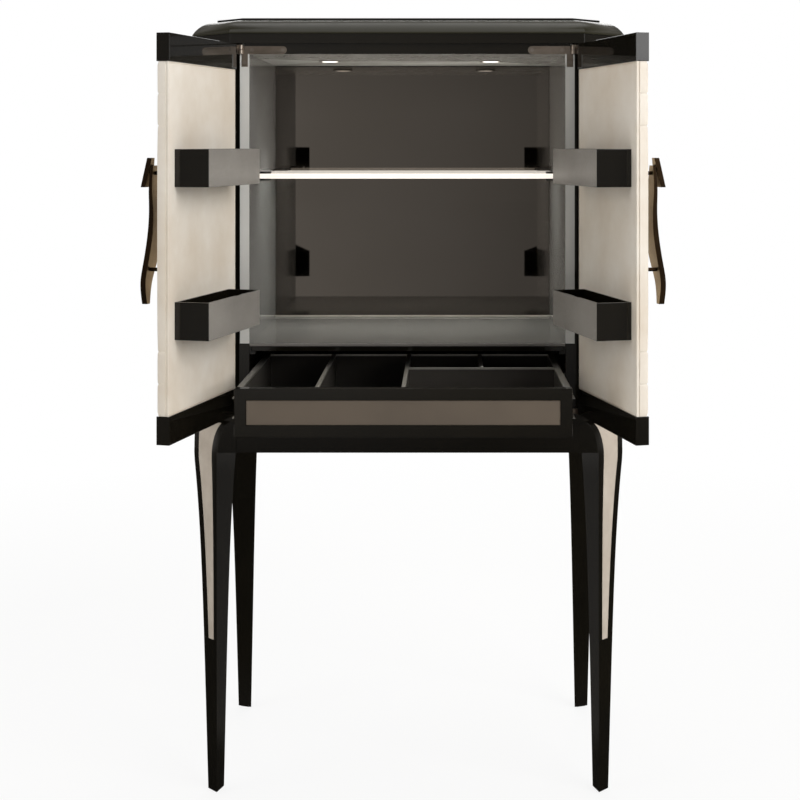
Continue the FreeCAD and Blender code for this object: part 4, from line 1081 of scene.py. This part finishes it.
@dataclass(frozen=True)
class Handle:
    """A cast pull: a long bowed blade under a short leaf, on two turned posts."""

    door: Door
    near: float = 20.7
    width: float = 42.0
    top: float = 1316.0
    bottom: float = 1048.0
    join: float = 1262.0
    stem_top: float = 1302.0
    reach: float = 42.8
    bar: float = 10.6
    thinning: float = 1.5  # the bar thins where this less the share of its height is under 1
    tip: float = 12.0
    # Share of the height and share of the reach, for the blade's outer face.
    blade_line: tuple[Pair, ...] = (
        (0.0, 0.925), (0.087, 0.991), (0.165, 1.0), (0.276, 0.897), (0.406, 0.757), (0.701, 0.607),
        (0.831, 0.619), (1.0, 0.526))
    # The leaf's outer and inner faces: share of the reach at the join, and its change up to the top.
    leaf_lines: tuple[Pair, ...] = ((0.995, -0.301), (0.785, -0.325))
    bow_line: tuple[Pair, ...] = ((0.24, 0.857), (0.5, 0.976), (0.72, 0.905))
    blade_steps: int = 48
    leaf_steps: int = 12
    post_radius: float = 3.5
    post_inset: float = 12.0
    post_heights: Pair = (1288.0, 1111.0)
    # Radius and height of the collar's turnings.
    collar: tuple[Pair, ...] = ((6.2, 0.0), (6.2, 1.0), (5.6, 1.6), (4.1, 1.9), (3.5, 2.6))
    turned_steps: int = 28
    centre: float = 0.01  # radius of the flat ends' middle
    edge_mm: float = 0.7
    sharp_angle: float = 28.0

    def across(self, z: float) -> float:
        """The handle's width at a height, seen from the front."""
        tip = self.tip / self.width
        line = curve_through(((0.0, tip), *self.bow_line, (1.0, tip)))
        return self.width * line((z - self.bottom) / (self.top - self.bottom))

    def blade_rings(self) -> Rings:
        """Rings of the long blade, from its foot up."""
        line = curve_through(self.blade_line)
        rings = []
        for step in range(self.blade_steps + 1):
            share = step / self.blade_steps
            out = self.reach * line(share)
            rings.append(self.ring(self.bottom + (self.stem_top - self.bottom) * share, out,
                                   out - self.bar * min(1.0, self.thinning - share)))
        return rings

    def leaf_rings(self) -> Rings:
        """Rings of the short leaf above the blade."""
        rings = []
        for step in range(self.leaf_steps + 1):
            share = step / self.leaf_steps
            out, back = (self.reach * (start + change * share) for start, change in self.leaf_lines)
            rings.append(self.ring(self.join + (self.top - self.join) * share, out, back))
        return rings

    def ring(self, z: float, out: float, back: float) -> list[Vector]:
        """The four corners of a section: outer near, outer far, inner far, inner near."""
        far = self.near + self.across(z)
        return [self.door.open_point(x, self.door.outer_y - reach, z)
                for x, reach in ((self.near, out), (far, out), (far, back), (self.near, back))]

    def post_mesh(self, z: float) -> Mesh:
        """A turned post with a collar against the door."""
        share = (z - self.bottom) / (self.stem_top - self.bottom)
        length = self.reach * curve_through(self.blade_line)(min(share, 1.0)) - self.bar / 2
        rings = []
        for radius, out in ((self.centre, 0.0), *self.collar, (self.post_radius, length),
                            (self.centre, length)):
            turns = [2 * math.pi * step / self.turned_steps for step in range(self.turned_steps)]
            rings.append([self.door.open_point(self.near + self.post_inset + radius * math.cos(turn),
                                               self.door.outer_y - out, z + radius * math.sin(turn))
                          for turn in turns])
        return loft_mesh("post", rings, flip=self.door.mirrored)

    def build(self) -> list[Object]:
        """Build the handle and its posts.

        Returns:
            The pieces.
        """
        door, word, palette = self.door, self.door.side.word, self.door.palette
        shells = [loft_mesh("shell", rings, lambda column: column % 2, not door.mirrored)
                  for rings in (self.blade_rings(), self.leaf_rings())]
        mesh = join_meshes("pull", shells)
        for face in mesh.polygons:
            if abs(face.normal.z) > SQUARELY:
                face.material_index = 1
        pull = add_object(word + "_cast_pull", mesh, [palette["antique_brass"], palette["dark_bronze"]])
        smooth(mesh, self.sharp_angle)
        ease(pull, self.edge_mm, degrees=self.sharp_angle)
        turned = join_meshes("posts", [self.post_mesh(z) for z in self.post_heights])
        posts = add_object(word + "_pull_posts", turned, [palette["dark_bronze"]])
        smooth(turned)
        return [door.settle(pull, "antique_brass", door.body, word + "_handle"),
                door.settle(posts, "dark_bronze", door.body, word + "_handle_posts")]


# ---- drawer, shelf and runners ----
@dataclass(frozen=True)
class Sliding(Assembly):
    """What slides: the divided drawer, its runners and the serving shelf."""

    groups: tuple[tuple[str, tuple[Board, ...]], ...] = (
        ("drawer", (
            Board("drawer_front", "black_lacquer", 1.2),
            Board("drawer_inlay", "taupe_lacquer", 0.7),
            # The drawer's inside boards, paler than its black front as painted light.
            *alike("drawer_lacquer", {0.3: "drawer_floor", 0.4: "drawer_dividers",
                                      0.5: "drawer_sides drawer_back"}),
            Board("drawer_rims", "bright_rim"),
            Board("runner_slides", "bright_steel", 0.3),
        )),
        ("runner_carriage", (Board("runner_middles", "bright_steel", 0.3),)),
        ("serving_leaf", (Board("serving_shelf", "black_lacquer", 1.0),)),
    )

    def build(self) -> list[Object]:
        """Dress the sliding pieces.

        Returns:
            The pieces.
        """
        return [self.dress(board, body) for body, boards in self.groups for board in boards]


# ---- screws ----
@dataclass(frozen=True)
class ScrewSet(Assembly):
    """Cross-head screws in the hinge mounts, set out by geometry nodes."""

    head_radius: float = 4.1
    head_thick: float = 1.3
    head_taper: float = 0.6  # radius of the head's underside, as a share of its rim's
    head_steps: int = 32
    cross_length: float = 4.6
    cross_width: float = 1.1
    cross_depth: float = 0.9
    cross_taper: float = 0.8  # size of the cross at its bottom, as a share of its mouth's

    def places(self) -> list[tuple[Vector, Vector]]:
        """Find where the screw heads lie and which way they face, from the CAD screws.

        Returns:
            The middle of each head's face, and its direction.
        """
        made = bmesh.new()
        made.from_mesh(bpy.data.objects["hinge_screws"].data)
        bmesh.ops.remove_doubles(made, verts=made.verts, dist=SAME_PLACE)
        found, waiting = [], set(made.verts)
        while waiting:
            group, edge = set(), {waiting.pop()}
            while edge:
                group |= edge
                edge = {link.other_vert(vert) for vert in edge for link in vert.link_edges} - group
            waiting -= group
            low, high = (Vector([end(vert.co[axis] for vert in group) for axis in range(3)])
                         for end in (min, max))
            middle = (low + high) / 2
            if high.y - low.y > high.z - low.z:
                found.append((Vector((middle.x, low.y, middle.z)), Vector((0, -1, 0))))
            else:
                found.append((Vector((middle.x, middle.y, high.z)), Vector((0, 0, 1))))
        made.free()
        return found

    def head(self) -> Mesh:
        """Make one countersunk head, with its cross cut into it, facing +Z from the origin.

        Returns:
            The head's mesh.
        """
        made = bmesh.new()
        steps, radius = self.head_steps, self.head_radius * MM
        turns = [2 * math.pi * step / steps for step in range(steps)]
        rim = [made.verts.new((radius * math.cos(turn), radius * math.sin(turn), 0)) for turn in turns]
        half, wide = self.cross_length / 2 * MM, self.cross_width / 2 * MM
        outline = [(x * a - y * b, x * b + y * a) for a, b in ((1, 0), (0, 1), (-1, 0), (0, -1))
                   for x, y in ((half, -wide), (half, wide), (wide, wide))]
        mouth = [made.verts.new((x, y, 0)) for x, y in outline]
        floor = [made.verts.new((x * self.cross_taper, y * self.cross_taper, -self.cross_depth * MM))
                 for x, y in outline]
        low = [made.verts.new((v.co.x * self.head_taper, v.co.y * self.head_taper, -self.head_thick * MM))
               for v in rim]
        edges = [made.edges.new((ring[i - 1], ring[i])) for ring in (rim, mouth) for i in range(len(ring))]
        bmesh.ops.triangle_fill(made, edges=edges, use_beauty=True)
        for i in range(len(mouth)):
            made.faces.new((mouth[i - 1], mouth[i], floor[i], floor[i - 1]))
        for i in range(steps):
            made.faces.new((rim[i - 1], low[i - 1], low[i], rim[i]))
        made.faces.new(floor)
        made.faces.new(low[::-1])
        bmesh.ops.recalc_face_normals(made, faces=made.faces)
        return finished_mesh("screw_head", made)

    def tree(self, head: Object) -> NodeTree:
        """Make the node tree that sets a head on each point, facing along the point's own direction.

        Args:
            head: the head to set.

        Returns:
            The geometry nodes.
        """
        group = bpy.data.node_groups.new("set_screws", "GeometryNodeTree")
        for name, way, kind in (("Geometry", "INPUT", "Geometry"), ("Head Size", "INPUT", "Float"),
                                ("Geometry", "OUTPUT", "Geometry")):
            group.interface.new_socket(name, in_out=way, socket_type="NodeSocket" + kind)
        start = add_node(group, "NodeGroupInput")
        info = add_node(group, "GeometryNodeObjectInfo", {"Object": head})
        facing = add_node(group, "GeometryNodeInputNamedAttribute", {"Name": "facing"},
                          data_type="FLOAT_VECTOR")
        turn = add_node(group, "FunctionNodeAlignRotationToVector", {"Vector": facing.outputs["Attribute"]},
                        axis="Z")
        spots = add_node(group, "GeometryNodeInstanceOnPoints", {
            "Points": start.outputs["Geometry"], "Instance": info.outputs["Geometry"],
            "Rotation": turn, "Scale": start.outputs["Head Size"]})
        real = add_node(group, "GeometryNodeRealizeInstances", {"Geometry": spots})
        dressed = add_node(group, "GeometryNodeSetMaterial",
                           {"Geometry": real, "Material": self.palette["plated_screw"]})
        add_node(group, "NodeGroupOutput", {"Geometry": dressed})
        return group

    def build(self) -> list[Object]:
        """Set the screws.

        Returns:
            The one piece that holds them.
        """
        head = bpy.data.objects.new("head_pattern", self.head())
        spots = self.places()
        mesh = bpy.data.meshes.new("screw_points")
        mesh.from_pydata([place for place, _ in spots], [], [])
        facing = mesh.attributes.new("facing", "FLOAT_VECTOR", "POINT")
        for number, (_, direction) in enumerate(spots):
            facing.data[number].vector = direction
        holder = add_object("screw_points", mesh)
        modifier = holder.modifiers.new("set_screws", "NODES")
        modifier.node_group = self.tree(head)
        size = next(item for item in modifier.node_group.interface.items_tree if item.name == "Head Size")
        modifier[size.identifier] = 1.0
        evaluated = holder.evaluated_get(bpy.context.evaluated_depsgraph_get())
        result = bpy.data.meshes.new_from_object(evaluated)
        result.name = "cross_head_screws"
        for pattern in (holder, head):
            bpy.data.objects.remove(pattern)
        return [self.settle(add_object("cross_head_screws", result), "plated_screw", "cabinet",
                            "hinge_screws")]


# ---- studio ----
@dataclass(frozen=True)
class Lamp:
    """An area lamp, in metres, watts and degrees."""

    name: str
    place: Sequence[float]
    aim: Sequence[float]
    size: Pair
    power: float
    spread: float = 180.0
    in_reflections: bool = True

    def hang(self) -> None:
        """Add the lamp to the scene, aimed at its point."""
        data = bpy.data.lights.new(self.name, "AREA")
        data.shape = "RECTANGLE"
        data.size, data.size_y = self.size
        data.energy = self.power
        data.spread = math.radians(self.spread)
        lamp = bpy.data.objects.new(self.name, data)
        lamp.location = self.place
        lamp.rotation_euler = (Vector(self.aim) - Vector(self.place)).to_track_quat("-Z", "Y").to_euler()
        lamp.visible_glossy = self.in_reflections
        bpy.context.scene.collection.objects.link(lamp)


@dataclass(frozen=True)
class Studio:
    """Floor, world, lamps and camera."""

    drawing: Drawing
    camera_at: Triple = (77.9, -2994.5, 1342.5)
    lens_mm: float = 66.34
    sensor_mm: float = 36.0
    shift: Pair = (-0.0571, -0.3208)
    view_end: float = 200.0
    floor_half: float = 30.0
    floor_colour: str = "#f2f1ee"
    floor_roughness: float = 0.9
    floor_white: float = 0.86  # share of white near the object, which leaves room for its shadow
    floor_reach: Pair = (1.6, 3.2)  # where the floor turns wholly white, in metres
    floor_shine: float = 0.12  # what a shiny surface shows of the floor close by, as a share of the wall's
    shine_reach: Pair = (2.5, 7.0)  # where the floor shows as bright as the wall, in metres
    ceiling_shine: float = 0.3  # what it shows of the studio's ceiling
    ceiling_rise: Pair = (0.02, 0.2)  # where wall turns to ceiling, as heights of a direction
    shine_colour: str = "#fffaf4"
    left_shine: float = 0.5  # what it shows straight in front, on the left
    # The same elsewhere: along which axis, from and to which part of a direction, and how bright there.
    wall_shine: tuple[tuple[str, float, float, float], ...] = (
        ("X", -0.11, 0.07, 0.28), ("Y", -0.97, -0.8, 0.25), ("Y", 0.2, 0.75, 1.0))
    world_light: Pair = (0.1, 0.62)  # soft light from the front and from all other sides
    world_turn: Pair = (-0.85, -0.3)  # between which parts along Y it changes
    lamps: tuple[Lamp, ...] = (
        Lamp("key", (3.1, -3.0, 3.05), (0, 0, 1.1), (3.0, 3.0), 140),
        Lamp("fill", (-3.8, -2.0, 2.2), (0, 0, 1.1), (2.4, 2.4), 38),
        Lamp("overhead", (0, 0.4, 4.2), (0, 0, 0), (3.0, 3.0), 32),
        Lamp("behind", (0, 4.2, 2.6), (0, 0, 1.1), (3.0, 2.0), 45),
    )
    beam_size: float = 0.03
    beam_power: float = 0.8
    beam_spread: float = 75.0
    beam_gap: float = 0.002  # from the lens to the lamp under it, in metres

    def level(self, tree: NodeTree, direction: NodeSocket) -> Node:
        """The parts of a direction along X and Y, with its height left out, as a length of 1."""
        flat = add_node(tree, "ShaderNodeVectorMath", {0: direction, 1: (1, 1, 0)}, operation="MULTIPLY")
        unit = add_node(tree, "ShaderNodeVectorMath", {0: flat}, operation="NORMALIZE")
        return add_node(tree, "ShaderNodeSeparateXYZ", {0: unit})

    def shine(self, tree: NodeTree, where: NodeSocket, share: Node, kind: str) -> Node:
        """Make what shines see the studio: dim in front, dimmer at the sides, white behind.

        Args:
            tree: the node tree of the floor or the world.
            where: which way a point of the studio lies from the cabinet.
            share: how much of that brightness shows there.
            kind: the type name of the node that gives off the light.

        Returns:
            That node.
        """
        part = self.level(tree, where)
        bright = self.left_shine
        for axis, start, end, there in self.wall_shine:
            bright = add_node(tree, "ShaderNodeMapRange", {
                "Value": part.outputs[axis], 1: start, 2: end, 3: bright, 4: there})
        strength = add_node(tree, "ShaderNodeMath", {0: bright, 1: share}, operation="MULTIPLY")
        return add_node(tree, kind, {"Color": linear(self.shine_colour), "Strength": strength})

    def seen(self, tree: NodeTree) -> tuple[Node, NodeSocket]:
        """1 for rays that show the background straight or through glass, and 1 for glossy rays."""
        path = add_node(tree, "ShaderNodeLightPath")
        direct = add_node(tree, "ShaderNodeMath", {
            0: path.outputs["Is Camera Ray"], 1: path.outputs["Is Transmission Ray"]}, operation="MAXIMUM")
        return direct, path.outputs["Is Glossy Ray"]

    def floor(self) -> None:
        """A plain white floor that keeps the object's shadow."""
        half = self.floor_half
        mesh = bpy.data.meshes.new("floor")
        mesh.from_pydata([(-half, -half, 0), (half, -half, 0), (half, half, 0), (-half, half, 0)], [],
                         [(0, 1, 2, 3)])
        material = bpy.data.materials.new("white_floor")
        material.use_nodes = True
        tree = material.node_tree
        shader = tree.nodes["Principled BSDF"]
        feed(tree, shader, {"Base Color": linear(self.floor_colour), "Roughness": self.floor_roughness})
        direct, glossy = self.seen(tree)
        where = add_node(tree, "ShaderNodeTexCoord").outputs["Object"]
        away = add_node(tree, "ShaderNodeVectorMath", {0: where}, operation="LENGTH").outputs["Value"]
        white, nearness = (
            add_node(tree, "ShaderNodeMapRange", {"Value": away, 1: reach[0], 2: reach[1], 3: near, 4: 1.0})
            for reach, near in ((self.floor_reach, self.floor_white), (self.shine_reach, self.floor_shine)))
        share = add_node(tree, "ShaderNodeMath", {0: direct, 1: white}, operation="MULTIPLY")
        plain = add_node(tree, "ShaderNodeEmission", {"Color": linear(WHITE), "Strength": 1.0})
        shown = add_node(tree, "ShaderNodeMixShader", {0: share, 1: shader, 2: plain})
        shine = self.shine(tree, where, nearness, "ShaderNodeEmission")
        mix = add_node(tree, "ShaderNodeMixShader", {0: glossy, 1: shown, 2: shine})
        feed(tree, tree.nodes["Material Output"], {"Surface": mix})
        add_object("floor", mesh, [material])

    def world(self) -> None:
        """White behind the object, and soft even light from all round."""
        world = bpy.data.worlds.new("studio")
        bpy.context.scene.world = world
        world.use_nodes = True
        tree = world.node_tree
        tree.nodes.clear()
        where = add_node(tree, "ShaderNodeTexCoord").outputs["Generated"]
        soft = add_node(tree, "ShaderNodeMapRange", {
            "Value": self.level(tree, where).outputs["Y"], 1: self.world_turn[0], 2: self.world_turn[1],
            3: self.world_light[0], 4: self.world_light[1]})
        light = add_node(tree, "ShaderNodeBackground", {"Color": linear(WHITE), "Strength": soft})
        plain = add_node(tree, "ShaderNodeBackground", {"Color": linear(WHITE), "Strength": 1.0})
        height = add_node(tree, "ShaderNodeSeparateXYZ", {0: where}).outputs["Z"]
        lowness = add_node(tree, "ShaderNodeMapRange", {
            "Value": height, 1: self.ceiling_rise[0], 2: self.ceiling_rise[1], 3: 1.0, 4: self.ceiling_shine})
        shine = self.shine(tree, where, lowness, "ShaderNodeBackground")
        direct, glossy = self.seen(tree)
        reflected = add_node(tree, "ShaderNodeMixShader", {0: glossy, 1: light, 2: shine})
        mix = add_node(tree, "ShaderNodeMixShader", {0: direct, 1: reflected, 2: plain})
        add_node(tree, "ShaderNodeOutputWorld", {"Surface": mix})

    def ceiling_lights(self) -> list[Lamp]:
        """The two lamps under the cabinet's own lenses, which reflections leave out."""
        low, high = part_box("light_lenses")
        reach = high.x - (high.y - low.y) / 2
        lights = []
        for side in Side:
            under = Vector((side.value * reach, (low.y + high.y) / 2, low.z - self.beam_gap))
            lights.append(Lamp(side.word + "_ceiling_light", under, under - Vector((0, 0, 1)),
                               (self.beam_size, self.beam_size), self.beam_power, self.beam_spread, False))
        return lights

    def camera(self) -> None:
        """The camera: level, square to the front, framed by shift."""
        data = bpy.data.cameras.new("camera")
        data.lens = self.lens_mm
        data.sensor_width = self.sensor_mm
        data.sensor_fit = "HORIZONTAL"
        data.shift_x, data.shift_y = self.shift
        data.clip_end = self.view_end
        camera = bpy.data.objects.new("camera", data)
        camera.location = self.drawing.place(*self.camera_at)
        camera.rotation_euler = (math.pi / 2, 0, 0)
        bpy.context.scene.collection.objects.link(camera)
        bpy.context.scene.camera = camera

    def build(self) -> None:
        """Set up the studio."""
        bpy.context.scene.view_settings.view_transform = "Standard"
        self.floor()
        self.world()
        for lamp in (*self.lamps, *self.ceiling_lights()):
            lamp.hang()
        self.camera()


def main() -> None:
    """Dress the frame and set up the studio."""
    logging.basicConfig(level=logging.INFO, format="%(name)s: %(message)s")
    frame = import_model()
    drawing = Drawing(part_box("right_inner_side")[0].y)
    palette = Palette()
    builders = [Casework(drawing, palette), LegSet(drawing, palette), Door(drawing, palette, Side.LEFT),
                Door(drawing, palette, Side.RIGHT), Sliding(drawing, palette), ScrewSet(drawing, palette)]
    for builder in builders:
        for piece in builder.build():
            LOG.info("%s: %s, %d faces", type(builder).__name__, piece.name, len(piece.data.polygons))
    Studio(drawing).build()
    LOG.info("%d CAD nodes", len(frame["nodes"]))


if __name__ == "__main__":
    main()
